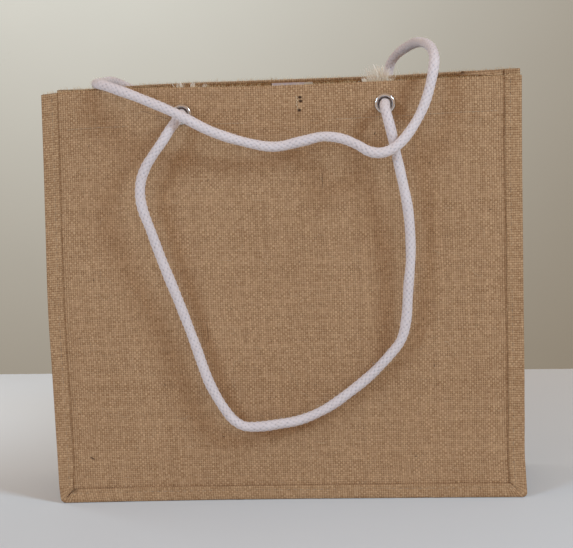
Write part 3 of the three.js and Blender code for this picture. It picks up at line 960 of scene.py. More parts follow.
class ToteRope(PropertyGroup):
    """Sizes and colours of the rope and of the eyelets that it runs through."""

    diameter: FloatProperty(
        name="Diameter", description="Thickness of the rope",
        default=0.0083, min=0.004, max=0.012, unit="LENGTH", precision=4,
    )
    strands: IntProperty(
        name="Strands each way", description="Strands plaited clockwise, with as many the other way",
        default=6, min=4, max=16,
    )
    lay: FloatProperty(
        name="Lay", description="Length of rope in which a strand moves over by its own width",
        default=0.0052, min=0.002, max=0.02, unit="LENGTH", precision=4,
    )
    ridge: FloatProperty(
        name="Ridge", description="How far the plaited strands stand above the grooves",
        default=0.0007, min=0.0, max=0.002, unit="LENGTH", precision=4,
    )
    cotton_colour: FloatVectorProperty(
        name="Cotton", description="Colour of the strands",
        default=(0.75, 0.68, 0.68), **COLOUR,
    )
    # The painted shade deep between the strands takes this colour
    groove_shade_colour: FloatVectorProperty(
        name="Groove", description="Colour deep between the strands",
        default=(0.21, 0.19, 0.23), **COLOUR,
    )
    metal_colour: FloatVectorProperty(
        name="Metal", description="Colour of the eyelets",
        default=(0.80, 0.78, 0.76), **COLOUR,
    )


class ToteStage(PropertyGroup):
    """Light and surroundings."""

    left_light: FloatProperty(
        name="Left light", description="Power of the light on the left",
        default=17.4, **POWER,
    )
    right_light: FloatProperty(
        name="Right light", description="Power of the light on the right",
        default=27.6, **POWER,
    )
    side_light: FloatProperty(
        name="Side light", description="Power of the light on the floor at the left",
        default=0.34, **POWER,
    )
    room_light: FloatProperty(
        name="Room light", description="Strength of the light from all round",
        default=0.578, min=0.0,
    )
    wall_light: FloatProperty(
        name="Wall light", description="Power of the light on the wall behind",
        default=97.0, **POWER,
    )
    floor_colour: FloatVectorProperty(
        name="Floor", description="Colour of the surface that the bag stands on",
        default=(0.70, 0.75, 0.78), **COLOUR,
    )
    wall_colour: FloatVectorProperty(
        name="Wall", description="Colour of the plain wall behind",
        default=(0.285, 0.259, 0.180), **COLOUR,
    )


class ToteOperator:
    """What the operators share: they add pieces and can be undone."""

    bl_options = {"REGISTER", "UNDO"}


# Camera and rope


def direction(azimuth, elevation):
    """The direction that points so many degrees to the side of the front, and so many up."""
    a, e = math.radians(azimuth), math.radians(elevation)
    return np.array([math.sin(a) * math.cos(e), -math.cos(a) * math.cos(e), math.sin(e)])


def add_aimed(name, data, eye, back, roll=0.0):
    """A camera or a lamp at a place, which looks away from the direction back, rolled by an
    angle in degrees."""
    right = unit(np.cross(-back, (0, 0, 1)))
    up = np.cross(back, right)
    turn = math.radians(roll)
    r = right * math.cos(turn) - up * math.sin(turn)
    u = right * math.sin(turn) + up * math.cos(turn)
    aimed = bpy.data.objects.new(name, data)
    rows = [(r[i], u[i], back[i], eye[i]) for i in range(3)]
    aimed.matrix_world = Matrix(rows + [(0, 0, 0, 1)])
    bpy.context.scene.collection.objects.link(aimed)
    return aimed


class TOTE_OT_camera(ToteOperator, Operator):
    """Set the camera at the height and angle from which the bag is seen"""

    bl_idname = "tote.camera"
    bl_label = "Camera"

    def execute(self, context):
        target, distance, roll = np.array([0.0027, -0.040, 0.195]), 1.684, 2.29
        back = direction(5.7, 10.6)
        lens = bpy.data.cameras.new("Camera")
        lens.sensor_width, lens.lens = 36.0, 36.0 * 2000 / 573
        lens.clip_start, lens.clip_end = 0.05, 50.0
        context.scene.camera = add_aimed("Camera", lens, target + distance * back, back, roll)
        context.scene.view_settings.view_transform = "Standard"
        return {"FINISHED"}


def plait_height(around, along, strands, lay):
    """How high a plaited tube's surface stands, 0 to 1: two families of strands wind opposite
    ways, each strand a half round that dips under and rises over the other family in turn,
    and the higher one shows. around is a share of a turn and along a distance."""
    a, b = strands * around + along / lay, strands * around - along / lay
    i, j = np.floor(a), np.floor(b)
    wave_a = (1 - 2 * np.mod(i, 2)) * np.sin(np.pi * b)
    wave_b = -(1 - 2 * np.mod(j, 2)) * np.sin(np.pi * a)
    round_a = np.sqrt(np.clip(1 - (2 * (a - i) - 1) ** 2, 0, 1))
    round_b = np.sqrt(np.clip(1 - (2 * (b - j) - 1) ** 2, 0, 1))
    height = np.maximum(round_a * (0.65 + 0.35 * wave_a), round_b * (0.65 + 0.35 * wave_b))
    return np.clip(height, 0, 1)


def add_rope(name, line, diameter, around, material, closed=False, fill=1.0):
    """A plaited rope along a line: a tube whose radius follows the plait's height, and which
    swells and shrinks a little along its length. On a closed line the lay is stretched so
    that the plait meets itself, and else each end is closed by one flat face."""
    rope = bpy.context.scene.tote_rope
    along = running_length(line)
    share = np.arange(around)[None, :] / around
    lay = rope.lay
    if closed:
        whole = along[-1] * len(line) / (len(line) - 1)
        lay = whole / (2 * round(whole / lay / 2))
    height = plait_height(share, along[:, None], rope.strands, lay)
    swell = 0.00014 * np.sin(along / 0.0130 + 1.0) + 0.00011 * np.sin(along / 0.0051)
    radii = diameter / 2 * fill + swell[:, None] - rope.ridge * (1 - height) + 0.15 * rope.ridge
    points, quads, uv = tube_parts(line, radii, around, closed)
    inwards = face_inwards(points, quads)
    faces, corner_uv = turned_out(points, quads).tolist(), uv.reshape(-1, 2)
    if not closed:
        first, last = list(range(around)), list(range(len(points) - around, len(points)))
        faces += [first, last[::-1]] if inwards else [first[::-1], last]
        corner_uv = np.concatenate([corner_uv, np.zeros((2 * around, 2))])
    # The attribute named shade carries the plait's height, which the rope's material paints as shade in
    # the grooves
    return add_piece(name, points, faces, material, corner_uv, {"shade": height}, crease=180)


def handle_line(name, step):
    """A handle's middle: straight through its first eyelet, along its route, and straight
    back through its second."""
    first, second = (EYELETS[e] for e in HANDLE_ENDS[name])
    inside, outside = (0, -0.0046, 0), (0, 0.0025, 0)
    start = from_seat(first, np.array([inside, outside]))
    end = from_seat(second, np.array([outside, inside]))
    return spline_through(np.vstack([start, ROUTES[name], end]), step)


def fuzz_lines(rng, line, diameter, count):
    """Short hairs on a rope: each starts just under its surface and leans out and along,
    bowed a little, with no order in their directions."""
    ahead, side, up = frames_along(line)
    at = rng.integers(1, len(line) - 1, count)
    turn = rng.uniform(0, 2 * np.pi, (count, 1))
    out = side[at] * np.cos(turn) + up[at] * np.sin(turn)
    beside = np.cross(out, ahead[at])
    lean = rng.normal(0, 0.9, (count, 2, 1))
    way = unit(0.55 * out + lean[:, 0] * ahead[at] + lean[:, 1] * beside)
    long = rng.uniform(0.0010, 0.0032, (count, 1, 1))
    t = np.linspace(0, 1, 4)[None, :, None]
    start = line[at] + out * (diameter / 2 - 0.0006)
    curl = rng.normal(0, 0.25, (count, 1, 3)) * np.sin(np.pi * t)
    return start[:, None] + (way[:, None] * t + curl) * long


class TOTE_OT_handles(ToteOperator, Operator):
    """Plait the two rope handles along their routes"""

    bl_idname = "tote.handles"
    bl_label = "Rope handles"

    def execute(self, context):
        rope = context.scene.tote_rope
        step, around, hairs, hair_radius = 0.00056, 48, 2200, 0.000045
        material = cotton_material("Cotton rope", rope.cotton_colour, rope.groove_shade_colour)
        fibre = thread_material("Loose cotton", (0.74, 0.66, 0.54), (0.96, 0.88, 0.75))
        for number, name in enumerate(ROUTES):
            line = handle_line(name, step)
            piece = add_rope(name + "_rope", line, rope.diameter, around, material)
            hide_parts(name)
            lines = fuzz_lines(np.random.default_rng(60 + number), line, rope.diameter, hairs)
            thin = np.full(lines.shape[:2], hair_radius)
            add_strands(name + "_fuzz", lines, thin, fibre, sides=3)
        return {"FINISHED"}


def knot_line(count):
    """The knot's closed path, which goes twice round the rope's line while it winds three
    times about that round."""
    loop, wind, depth = 0.0070, 0.0034, 0.0123
    t = 2 * np.pi * np.arange(count) / count
    reach = loop + wind * np.cos(3 * t)
    out = -depth + wind * np.sin(3 * t)
    return np.stack([reach * np.cos(2 * t), out, reach * np.sin(2 * t)], axis=-1)


def curls(rng, count, length, size):
    """Smooth random sways for a bundle of strands: three sines each, growing from the root."""
    t = np.linspace(0, 1, length)
    phase = rng.random((3, count, 1, 2)) * 2 * np.pi
    power = size * rng.normal(size=(3, count, 1, 2)) / np.array([1.0, 2.0, 3.0])[:, None, None, None]
    waves = np.sin(np.array([2.0, 5.0, 9.0])[:, None, None, None] * t[None, None, :, None] + phase)
    return ((waves - np.sin(phase)) * power).sum(0)


def fray_lines(rng, eyelet, wisps, counts, length, wild):
    """Strands of a frayed rope end. Each leaves the top of the knot, rises up the inside of
    the panel and ends in its own wisp, spread over the wisp's width, those at its edges a
    little shorter. They come as points across, out and up at the eyelet's seat."""
    root, depth, spread = 0.0060, 0.0118, 0.0032
    row = np.repeat(np.arange(len(wisps)), counts.astype(int))
    count = len(row)
    middle, half, top = (wisps[row, k][:, None] for k in range(3))
    lean = rng.uniform(-1, 1, (count, 1))
    t = np.linspace(0, 1, length)[None, :]
    tall = top * rng.uniform(0.86, 1.0, (count, 1)) ** wild * (1 - 0.12 * lean**2)
    sway = curls(rng, count, length, 0.0011 * wild)
    start, end = lean * 0.0035 + middle * 0.2, middle + lean * half
    across = eyelet["side"] * (lerp(start, end, t**0.7) + sway[..., 0])
    out = -depth + rng.uniform(-spread, spread, (count, 1)) * (1 + 0.4 * t) + 0.6 * sway[..., 1]
    up = root + (tall - root) * t
    return np.stack(np.broadcast_arrays(across, out, up), axis=-1)


def add_fray(name, eyelet, number, material):
    """The yarns of a frayed end and the fine fibres among them."""
    rng = np.random.default_rng(100 + number)
    wisps = FRAYS[name]
    lines = from_seat(eyelet, fray_lines(rng, eyelet, wisps, wisps[:, 3], 9, 1.0))
    thick = np.linspace(0.00042, 0.00026, 9)[None, :] * rng.uniform(0.8, 1.2, (len(lines), 1))
    yarns = add_strands("fray_" + name, lines, thick, material, 5, rng.uniform(0.45, 1.0, len(lines)))
    lines = from_seat(eyelet, fray_lines(rng, eyelet, wisps, wisps[:, 4], 8, 2.2))
    thin = np.linspace(0.00011, 0.00005, 8)[None, :] * np.ones((len(lines), 1))
    fibres = add_strands("fibres_" + name, lines, thin, material, 3, rng.uniform(0.55, 1.0, len(lines)))
    return [yarns, fibres]


class TOTE_OT_knots(ToteOperator, Operator):
    """Tie the knot and the frayed end behind each eyelet"""

    bl_idname = "tote.knots"
    bl_label = "Knots and frayed ends"

    def execute(self, context):
        rope = context.scene.tote_rope
        rope_cotton = bpy.data.materials["Cotton rope"]
        loose_cotton = bpy.data.materials["Loose cotton"]
        around, knot_diameter = 36, 0.0084
        neck_start, neck_end = (0, -0.0049, 0), (0, -0.0140, 0)
        for number, (name, eyelet) in enumerate(EYELETS.items()):
            line = from_seat(eyelet, knot_line(190))
            knot = add_rope("knot_" + name + "_rope", line, knot_diameter, around, rope_cotton, True)
            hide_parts("knot_" + name)
            line = from_seat(eyelet, np.linspace(neck_start, neck_end, 18))
            neck = add_rope("neck_" + name, line, rope.diameter, around, rope_cotton, fill=0.98)
            [knot, neck] + add_fray(name, eyelet, number, loose_cotton)
        for name, ends in HANDLE_ENDS.items():
            tuple(seat_of(EYELETS[ends[0]])[0])
            handle_line(name, 0.002).tolist()
        return {"FINISHED"}


# Cloth pieces


def hem_line(across):
    """How far up the hem's row of stitches runs: a little higher on the right."""
    return lerp(0.3212, 0.3249, (across + SEAM_ACROSS) / (2 * SEAM_ACROSS))


def eyelet_seats(side):
    """The eyelets of a panel, as places across and up on its grid."""
    found = []
    for eyelet in EYELETS.values():
        if eyelet["side"] == side:
            x, z = eyelet["x"], eyelet["z"]
            across = x * HALF_WIDTH / either(SIDE_EDGES, x < 0, z)
            up = z * HEIGHT / either(MOUTH_EDGES, side == FRONT, across)
            found.append((float(across), float(up)))
    return found


def round_hole(across, up, seat, half, radius, reach):
    """Makes the grid's square round an eyelet a circle: each point on the square moves along
    its own line from the middle to the circle, and the move fades out at the reach."""
    a, u = across - seat[0], up - seat[1]
    square, far = np.maximum(np.abs(a), np.abs(u)), np.maximum(np.hypot(a, u), 1e-9)
    scale = lerp(square / far * radius / half, 1.0, ramp(square, half, reach))
    return seat[0] + a * scale, seat[1] + u * scale


def panel_grid(side):
    """A panel's rows and columns: even steps, finer in the hem, with lines at the edges of
    the squares that become the eyelets' holes, and the mask of the cells that stay."""
    half = 0.0045
    seats = eyelet_seats(side)
    marks = sorted(u + d for _, u in seats for d in (-half, half))
    hem = HEIGHT - HEM_DEPTH
    stops = [hem, *marks, HEIGHT - TOP_RADIUS]
    turn = np.radians([20, 40, 60, 80])
    ups = np.concatenate([
        joined((0.0016, 0.0163, 0.0021), (0.0163, hem - 0.0008, 0.0033))[:-1],
        [hem - 0.0008],
        joined(*((a, b, 0.0016) for a, b in zip(stops[:-1], stops[1:]))),
        HEIGHT - TOP_RADIUS * (1 - np.sin(turn)),
    ])
    (left, _), (right, _) = seats
    stops = [-HEM_SIDE, left - half, left + half, right - half, right + half, HEM_SIDE]
    middle = joined(*((a, b, 0.0032) for a, b in zip(stops[:-1], stops[1:])))
    outer = np.array([0.1984, 0.1940, 0.1900, 0.1865, 0.1838])
    acrosses = np.concatenate([-outer, middle, outer[::-1]])
    across, up = np.meshgrid(acrosses, ups)
    cell_across, cell_up = (across[:-1, :-1] + across[1:, 1:]) / 2, (up[:-1, :-1] + up[1:, 1:]) / 2
    keep = np.ones(cell_up.shape, bool)
    for a, u in seats:
        keep &= np.maximum(np.abs(cell_across - a), np.abs(cell_up - u)) > half
    return across, up, keep, seats, half


def add_panel(side, name, material):
    """A panel: its outer face wavers, dips along the hem's stitches and closes round the
    folded top; its inner face steps in by one layer above the hem's raw edge. Its lower
    corners are cut back by 1 mm, to stay within the binding's fold."""
    across, up, keep, seats, half = panel_grid(side)
    hem, hole_radius, reach = HEIGHT - HEM_DEPTH, 0.0064, 0.0125
    from_top = np.maximum(up - (HEIGHT - TOP_RADIUS), 0) / TOP_RADIUS
    rounding = TOP_RADIUS * (1 - np.sqrt(np.clip(1 - from_top**2, 0, 1)))
    hemmed = (up > hem - 0.0004) & (np.abs(across) < HEM_SIDE + 0.0004)
    shift = (hem_line(across) - 0.0031 - hem) * bump(up, hem, 0.004)
    shift = shift * ramp(HEM_SIDE - np.abs(across), 0.0, 0.004)
    sheared = up + shift
    for seat in seats:
        across, sheared = round_hole(across, sheared, seat, half, hole_radius, reach)
    waver = cloth_waver(side, across, sheared)
    within = ramp(HEM_SIDE - np.abs(across), -0.001, 0.006)
    dip = 0.00035 * bump(sheared, hem_line(across) - 0.0006, 0.0010) * within
    ridge = -0.00030 * bump(sheared, hem_line(across) - 0.0036, 0.0013) * within
    outer_inset = rounding + (waver + dip + ridge)
    thickness = np.where(hemmed, HEM_LAYERS, LAYER)
    inner_inset = thickness - np.minimum(rounding, thickness / 2) + waver + dip * 0.6
    cut_back = 0.001 * ((up < 0.0017) & (np.abs(across) > 0.197))
    across = across - np.sign(across) * cut_back
    sheared = sheared + cut_back
    outer, inner = (place(side, across, sheared, inset) for inset in (outer_inset, inner_inset))
    uv = np.stack([across + CLOTH_START[side], sheared], axis=-1)
    # The inner face's painted shade fades out near the fold's top, so that the top of the fold shows lit
    inner_shade = ramp(HEIGHT - up, 0.0003, 0.0022)
    piece = add_slab(name + "_cloth", outer, inner, uv, material, keep, inner_shade=inner_shade)
    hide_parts(name)


class TOTE_OT_panels(ToteOperator, Operator):
    """Make the front and back panels with their hems and eyelet holes"""

    bl_idname = "tote.panels"
    bl_label = "Panels"

    def execute(self, context):
        colour = context.scene.tote_cloth.jute_colour
        material = jute_material("Woven jute", colour, (0.77, 0.85), [parted_thread_shade])
        add_panel(FRONT, "front_panel", material)
        add_panel(BACK, "back_panel", material)
        return {"FINISHED"}


def strip_path(down, corner_steps, foot_steps, outer, inner):
    """Two lines side by side, down one side, round the corner, along the foot and up the
    other side. Each is given as how far across and how far up it runs, and its corner's
    radius."""
    angle = np.radians(np.linspace(0, 90, corner_steps))
    foot = np.linspace(-inner[0] + 0.006, 0, foot_steps)
    lines = []
    for across, up, radius in (outer, inner):
        corner = (-across + radius * (1 - np.cos(angle)), up + radius * (1 - np.sin(angle)))
        stretches = ((-across, down), corner, (foot, up))
        half = np.concatenate([np.stack(np.broadcast_arrays(*s), -1) for s in stretches])
        lines.append(np.concatenate([half, (half * (-1, 1))[-2::-1]]))
    return lines


def gusset_fold(across, up, out_x, out_z, along, t):
    """How far in the gusset lies at t, from -1 at the front seam to 1 at the back one, and
    how much longer its slope is than its depth. At the sides it folds inwards to a rounded
    crease, as deep as its own width allows, with soft waves on both halves, and along the
    foot it is flat and sags slightly."""
    depth = wall_depth(FRONT, across, up)
    on_side = np.abs(out_x) * ramp(up, FOOT_BINDING, GUSSET_UNFOLDS)
    folded = np.sqrt(np.maximum(GUSSET_HALF_WIDTH**2 - depth**2, 0)) * on_side
    crease = 1 - (np.sqrt(t**2 + 0.0025) - 0.05) / (math.sqrt(1.0025) - 0.05)
    between_seams = 1 - t**2
    soft = 0.0016 * np.sin(along / 0.034 + 4 * t) + 0.0009 * np.sin(along / 0.0123 - 3 * t)
    fold = folded * crease + soft * between_seams * np.sin(np.pi * np.abs(t))
    sag = -0.0018 * between_seams * np.abs(out_z) * ramp(0.170 - np.abs(across), 0, 0.03)
    return fold + sag, np.hypot(1, folded / depth)


def add_gusset(material):
    """The gusset: at each place down the strip, a section from the front flange, which lies
    behind the panel under its binding, across the fold to the back flange."""
    hem, seam_radius = HEIGHT - GUSSET_HEM, 0.006
    corner = FOOT_BINDING + seam_radius + 0.001
    sides = np.concatenate([
        joined((HEIGHT, hem, 0.0023)),
        joined((hem - 0.0008, GUSSET_UNFOLDS, 0.0036), (GUSSET_UNFOLDS, corner, 0.0022)),
    ])
    edge = (SEAM_ACROSS, FOOT_BINDING, seam_radius)
    seam, _ = strip_path(sides, 9, 60, edge, edge)
    ahead = unit(np.gradient(seam, axis=0))
    across, up, out_x, out_z = seam[:, :1], seam[:, 1:], ahead[:, 1:], -ahead[:, :1]
    along = running_length(seam)[:, None]
    flange = np.linspace(0, 1, 4)[1:]
    folds = np.concatenate([-1 - flange[::-1], np.linspace(-1, 1, 41), 1 + flange])[None, :]
    t, reach = np.clip(folds, -1, 1), np.clip(np.abs(folds) - 1, 0, 1)
    inner_part = np.abs(folds) < 1
    fold, slope = gusset_fold(across, up, out_x, out_z, along, t)
    layers = np.where(up > hem - 0.0004, HEM_LAYERS, LAYER) * slope
    width = np.hypot(out_x * (SIDE_BINDING - 0.002), out_z * (FOOT_BINDING - 0.002))
    share = np.where(inner_part, (t + 1) / 2, folds > 0)[..., None]
    faces = []
    for thick, behind, flange_inset in (
        (layers, LAYER, LAYER + GAP),
        (0, 0, 2 * LAYER + GAP),
    ):
        flange_push = np.where(reach > 0, width * reach, -behind)
        push = np.where(inner_part, -(fold + thick), flange_push)
        inset = np.where(inner_part, 2 * LAYER + GAP, flange_inset)
        a, u = across + out_x * push, up + out_z * push
        front, back = place(FRONT, a, u, inset), place(BACK, a, u, inset)
        faces.append(front * (1 - share) + back * share)
    uv = np.stack(np.broadcast_arrays(along, folds * 0.05 + 0.1), -1)
    piece = add_slab("gusset_cloth", faces[1], faces[0], uv, material)
    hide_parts("gusset")


class TOTE_OT_gusset(ToteOperator, Operator):
    """Make the one strip that joins the panels down the sides and along the foot"""

    bl_idname = "tote.gusset"
    bl_label = "Gusset"

    def execute(self, context):
        add_gusset(bpy.data.materials["Woven jute"])
        return {"FINISHED"}


# Across the binding's section: how far in from the bag's edge, as a share of the strip's
# width, and how far behind the panel's outer face; first the outer face, then the inner
BINDING_OUTER = np.array([
    (1.000, -0.0014), (0.800, -0.0014), (0.500, -0.0014), (0.110, -0.0014), (0.025, -0.0008),
    (0.000, 0.00035), (0.000, 0.00215), (0.025, 0.0033), (0.110, 0.0044), (0.500, 0.0044),
    (0.970, 0.0044),
])
BINDING_INNER = np.array([
    (1.000, -0.0003), (0.800, -0.0003), (0.500, -0.0003), (0.120, -0.0003), (0.090, 0.0),
    (0.085, 0.0005), (0.085, 0.0020), (0.090, 0.0025), (0.120, 0.0031), (0.500, 0.0031),
    (0.970, 0.0031),
])

# How far in from the edge the row of stitches runs, as a share of the strip's width
STITCH_INWARDS = 0.70


def binding_path():
    """The binding's outer and inner edges, closely spaced at the mitred corners."""
    top, low = HEIGHT - 0.006, 0.024
    sides = joined((HEIGHT, top, 0.001), (top, low, 0.0034), (low, 0.0136, 0.001))
    outer, inner = (HALF_WIDTH, 0.0, 0.004), (SEAM_ACROSS, FOOT_BINDING, 0.001)
    return strip_path(sides, 25, 56, outer, inner)


def mitre(spot):
    """How far a point is from the fold across a lower corner, and on which side of it: the
    fold runs from the bag's corner to the inner corner of the binding."""
    a, u = HALF_WIDTH - np.abs(spot[..., 0]), spot[..., 1]
    length = math.hypot(SIDE_BINDING, FOOT_BINDING)
    return (a * FOOT_BINDING - u * SIDE_BINDING) / length, (a * SIDE_BINDING + u * FOOT_BINDING) / length


def binding_relief(side, spot, inwards, along):
    """How far the leg on the panel lies behind its even shape, and how open its slits are:
    plump on both sides of its stitches, waved, with a slit and a lap at each mitre and a
    crease just below its top."""
    plump = 0.00035 * np.sin(np.pi * np.clip(inwards / STITCH_INWARDS, 0, 1)) ** 0.7
    past = np.clip((inwards - STITCH_INWARDS) / (1 - STITCH_INWARDS), 0, 1)
    plump = plump + 0.00022 * np.sin(np.pi * past)
    waves = 0.00012 * np.sin(along / 0.0023 + 5 * inwards)
    waves = waves + 0.00018 * np.sin(along / 0.0171 + 2 * side)
    off, far = mitre(spot)
    by_side = np.where(spot[..., 0] < 0, 1.0, 0.4)
    slit = bump(off, 0.0, 0.00055) * ramp(far, 0.0065, 0.0085) * by_side
    lap = 0.00030 * ramp(-off, 0.0, 0.0009) * bump(off, 0.0, 0.006)
    crease = 0.0003 * bump(spot[..., 1], HEIGHT - 0.0042, 0.0009)
    return -plump - waves + 0.0011 * slit - lap + crease, slit


def add_binding(side, name, material):
    """A binding: the folded section carried round three edges, a little narrower at its lower
    left corner. Its UVs run along the strip, and across it from the row of stitches."""
    outer_edge, inner_edge = binding_path()
    along = running_length((outer_edge + inner_edge) / 2)[:, None]
    key = np.arange(len(BINDING_OUTER), dtype=float)
    at = joined((0, 3, 0.2), (3, 8, 0.34), (8, 10, 0.4))
    on_leg = at < 3.5
    sections = [
        (np.clip(smooth_table(key, rows[:, 0], at), 0, 1), smooth_table(key, rows[:, 1], at))
        for rows in (BINDING_OUTER, BINDING_INNER)
    ]
    faces, gap = [], None
    for inwards, inset in sections:
        share = inwards[None, :, None]
        spot = outer_edge[:, None] * (1 - share) + inner_edge[:, None] * share
        narrow = 0.0013 * bump(spot[..., 1], 0.012, 0.013) * (spot[..., 0] < -0.15) * inwards
        spot = spot - np.stack([narrow, 0 * narrow], -1)
        relief, slit = binding_relief(side, spot, inwards, along)
        from_edge = ramp(inwards, 0.0, 0.12)
        relief = np.where(on_leg, relief, 0) * from_edge
        # The slit's openness is also painted as shade in it, through the attribute named gap
        if gap is None:
            gap = np.where(on_leg, slit, 0) * from_edge * 0.6
        else:
            relief = np.minimum(relief, 0) * 0.6
        faces.append(place(side, spot[..., 0], spot[..., 1], inset + relief))
    inwards, inset = sections[0]
    steps = np.hypot(np.diff(inwards) * SIDE_BINDING, np.diff(inset))
    strip = np.cumsum(np.concatenate([[0], steps]))
    leg = len(at) // 2
    row = np.interp(-STITCH_INWARDS, -inwards[:leg], strip[:leg])
    uv = np.stack(np.broadcast_arrays(along, strip - row), -1)
    piece = add_slab(name + "_strip", faces[0], faces[1], uv, material, gap=gap)
    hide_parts(name)


class TOTE_OT_bindings(ToteOperator, Operator):
    """Bind the edges of each panel with a folded, mitred strip"""

    bl_idname = "tote.bindings"
    bl_label = "Bindings"

    def execute(self, context):
        colour = context.scene.tote_cloth.binding_colour
        material = jute_material("Binding jute", colour, (0.70, 0.92), [needle_hole_shade])
        add_binding(FRONT, "front_binding", material)
        add_binding(BACK, "back_binding", material)
        return {"FINISHED"}


def stitches_on(side, path, inset, pitch, length):
    """A row of stitches on a wall: path gives across and up along the row. Each stitch is a
    short arc that leaves the cloth, lies on it and goes back in."""
    along = running_length(path)
    middles = np.arange(pitch, along[-1] - pitch / 2, pitch)
    t = np.linspace(-0.5, 0.5, 7)
    at = middles[:, None] + t[None, :] * length
    across, up = (np.interp(at, along, path[:, k]) for k in (0, 1))
    lift = 0.00025 * (1 - (2 * t) ** 4)[None, :] - 0.0001
    return place(side, across, up, inset - lift)


class TOTE_OT_stitches(ToteOperator, Operator):
    """Sew the rows of stitches along the hems and the bindings"""

    bl_idname = "tote.stitches"
    bl_label = "Stitches"

    def execute(self, context):
        pitch = context.scene.tote_cloth.stitch_pitch
        material = thread_material("Sewing thread", (0.24, 0.155, 0.09), (0.56, 0.42, 0.28))
        outer, inner = binding_path()
        bound = outer * (1 - STITCH_INWARDS) + inner * STITCH_INWARDS
        across = np.linspace(-0.181, 0.181, 200)
        hem = np.stack([across, hem_line(across)], -1)
        for side, word in ((FRONT, "front"), (BACK, "back")):
            on_binding = stitches_on(side, bound, -0.00132, pitch, pitch * 0.66)
            on_hem = stitches_on(side, hem, 0.00020, 0.0036, 0.0031)
            lines = np.concatenate([on_binding, on_hem])
            counts = (len(on_binding), len(on_hem))
            thick = np.repeat((0.00016, 0.00022), counts)[:, None]
            radius = thick * np.array([0.5, 0.9, 1, 1, 1, 0.9, 0.5])
            shades = np.repeat((0.62, 0.85), counts)
            piece = add_strands("stitches_" + word, lines, radius, material, 6, shades)
        return {"FINISHED"}


class TOTE_OT_label(ToteOperator, Operator):
    """Make the plain strip of tape inside the back hem"""

    bl_idname = "tote.label"
    bl_label = "Label"

    def execute(self, context):
        material = tape_material(context.scene.tote_cloth.label_colour)
        foot, top, thickness, behind = 0.3235, 0.3502, 0.0007, HEM_LAYERS + GAP
        across, up = np.meshgrid(np.linspace(-0.0105, 0.0245, 40), np.linspace(foot, top, 30))
        curl = 0.0004 * np.sin((across - 0.007) / 0.0065) * ramp(up, 0.330, top)
        front = place(BACK, across, up, behind + thickness + curl)
        back = place(BACK, across, up, behind + curl)
        uv = np.stack([across + TAPE_START, up], -1)
        piece = add_slab("label_tape", front, back, uv, material)
        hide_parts("label")
        return {"FINISHED"}


# Metal


# Sections of the eyelet and its washer: corners as radius and height above the panel
EYELET_PROFILE = np.array([
    (0.00570, -0.0042), (0.00640, -0.0047), (0.00720, -0.0045), (0.00740, -0.0037),
    (0.00605, -0.0037), (0.00605, 0.0003), (0.00880, 0.0003), (0.00885, 0.0009),
    (0.00790, 0.0021), (0.00640, 0.0021), (0.00565, 0.0008),
])
WASHER_PROFILE = np.array([
    (0.00635, -0.0034), (0.00880, -0.0034), (0.00880, -0.0026), (0.00635, -0.0026),
])


class TOTE_OT_eyelets(ToteOperator, Operator):
    """Set the four eyelets, each with its washer on the inside"""

    bl_idname = "tote.eyelets"
    bl_label = "Eyelets"

    def execute(self, context):
        material = nickel_material(context.scene.tote_rope.metal_colour)
        segments = 72
        for kind, corners, per_side in (
            ("eyelet_", EYELET_PROFILE, 6),
            ("washer_", WASHER_PROFILE, 3),
        ):
            ring, ring_quads = ring_parts(rounded_profile(corners, per_side), segments)
            for name, eyelet in EYELETS.items():
                points = from_seat(eyelet, ring)
                quads = turned_out(points, ring_quads)
                piece = add_piece(kind + name + "_ring", points, quads, material, crease=60)
                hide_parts(kind + name)
        return {"FINISHED"}


# Flaws and loose fibres


def surface_strands(rng, side, across, up, angle, length, points, lift, sway):
    """Short strands lying on a wall at the given places and angles, bowed by a random sway,
    each with so many points and its middle lifted off the wall."""
    t = np.linspace(-0.5, 0.5, points)[None, :]
    bow = (0.25 - t**2) * sway * rng.normal(size=(len(across), 1)) * length[:, None]
    a = across[:, None] + t * length[:, None] * np.cos(angle)[:, None] - bow * np.sin(angle)[:, None]
    u = up[:, None] + t * length[:, None] * np.sin(angle)[:, None] + bow * np.cos(angle)[:, None]
    inset = cloth_waver(side, a, u) - lift * (1 - (2 * t) ** 2 * 0.9)
    return place(side, a, u, inset)


# Marks on the front panel: across, up, angle, length and half thickness
DARK_MARKS = np.array([
    (-0.1699, 0.0386, -0.55, 0.0040, 0.00056),
    (0.1077, 0.0364, 0.20, 0.0026, 0.00036),
    (0.0794, 0.3105, 1.10, 0.0030, 0.00040),
    (0.0359, 0.2730, 1.57, 0.0160, 0.00014),
    (-0.0658, 0.1470, 1.60, 0.0180, 0.00016),
    # These two thin lines are partly darker threads and partly the rope's shadow, painted beside its
    # crossing
    (-0.1090, 0.3322, -0.32, 0.0120, 0.00016),
    (-0.0970, 0.3285, -0.32, 0.0100, 0.00016),
])


def add_straws(rng, side, name, material):
    """Short dark straws in a panel's weave, and on the front one also its larger marks, two of
    which are partly painted shadow of the rope.
    """
    count = 20
    marks = np.stack([
        rng.uniform(-0.178, 0.178, count), rng.uniform(0.02, 0.315, count),
        rng.choice([0.0, np.pi / 2], count) + rng.normal(0, 0.25, count),
        rng.uniform(0.0012, 0.0030, count), rng.uniform(0.00018, 0.00032, count),
    ], axis=1)
    if side == FRONT:
        marks = np.concatenate([marks, DARK_MARKS])
    across, up, angle, length, thick = marks.T
    lines = surface_strands(rng, side, across, up, angle, length, 5, 0.00022, 0.3)
    radius = thick[:, None] * np.array([[0.4, 0.9, 1, 0.9, 0.4]])
    add_strands(name, lines, radius, material, sides=5)


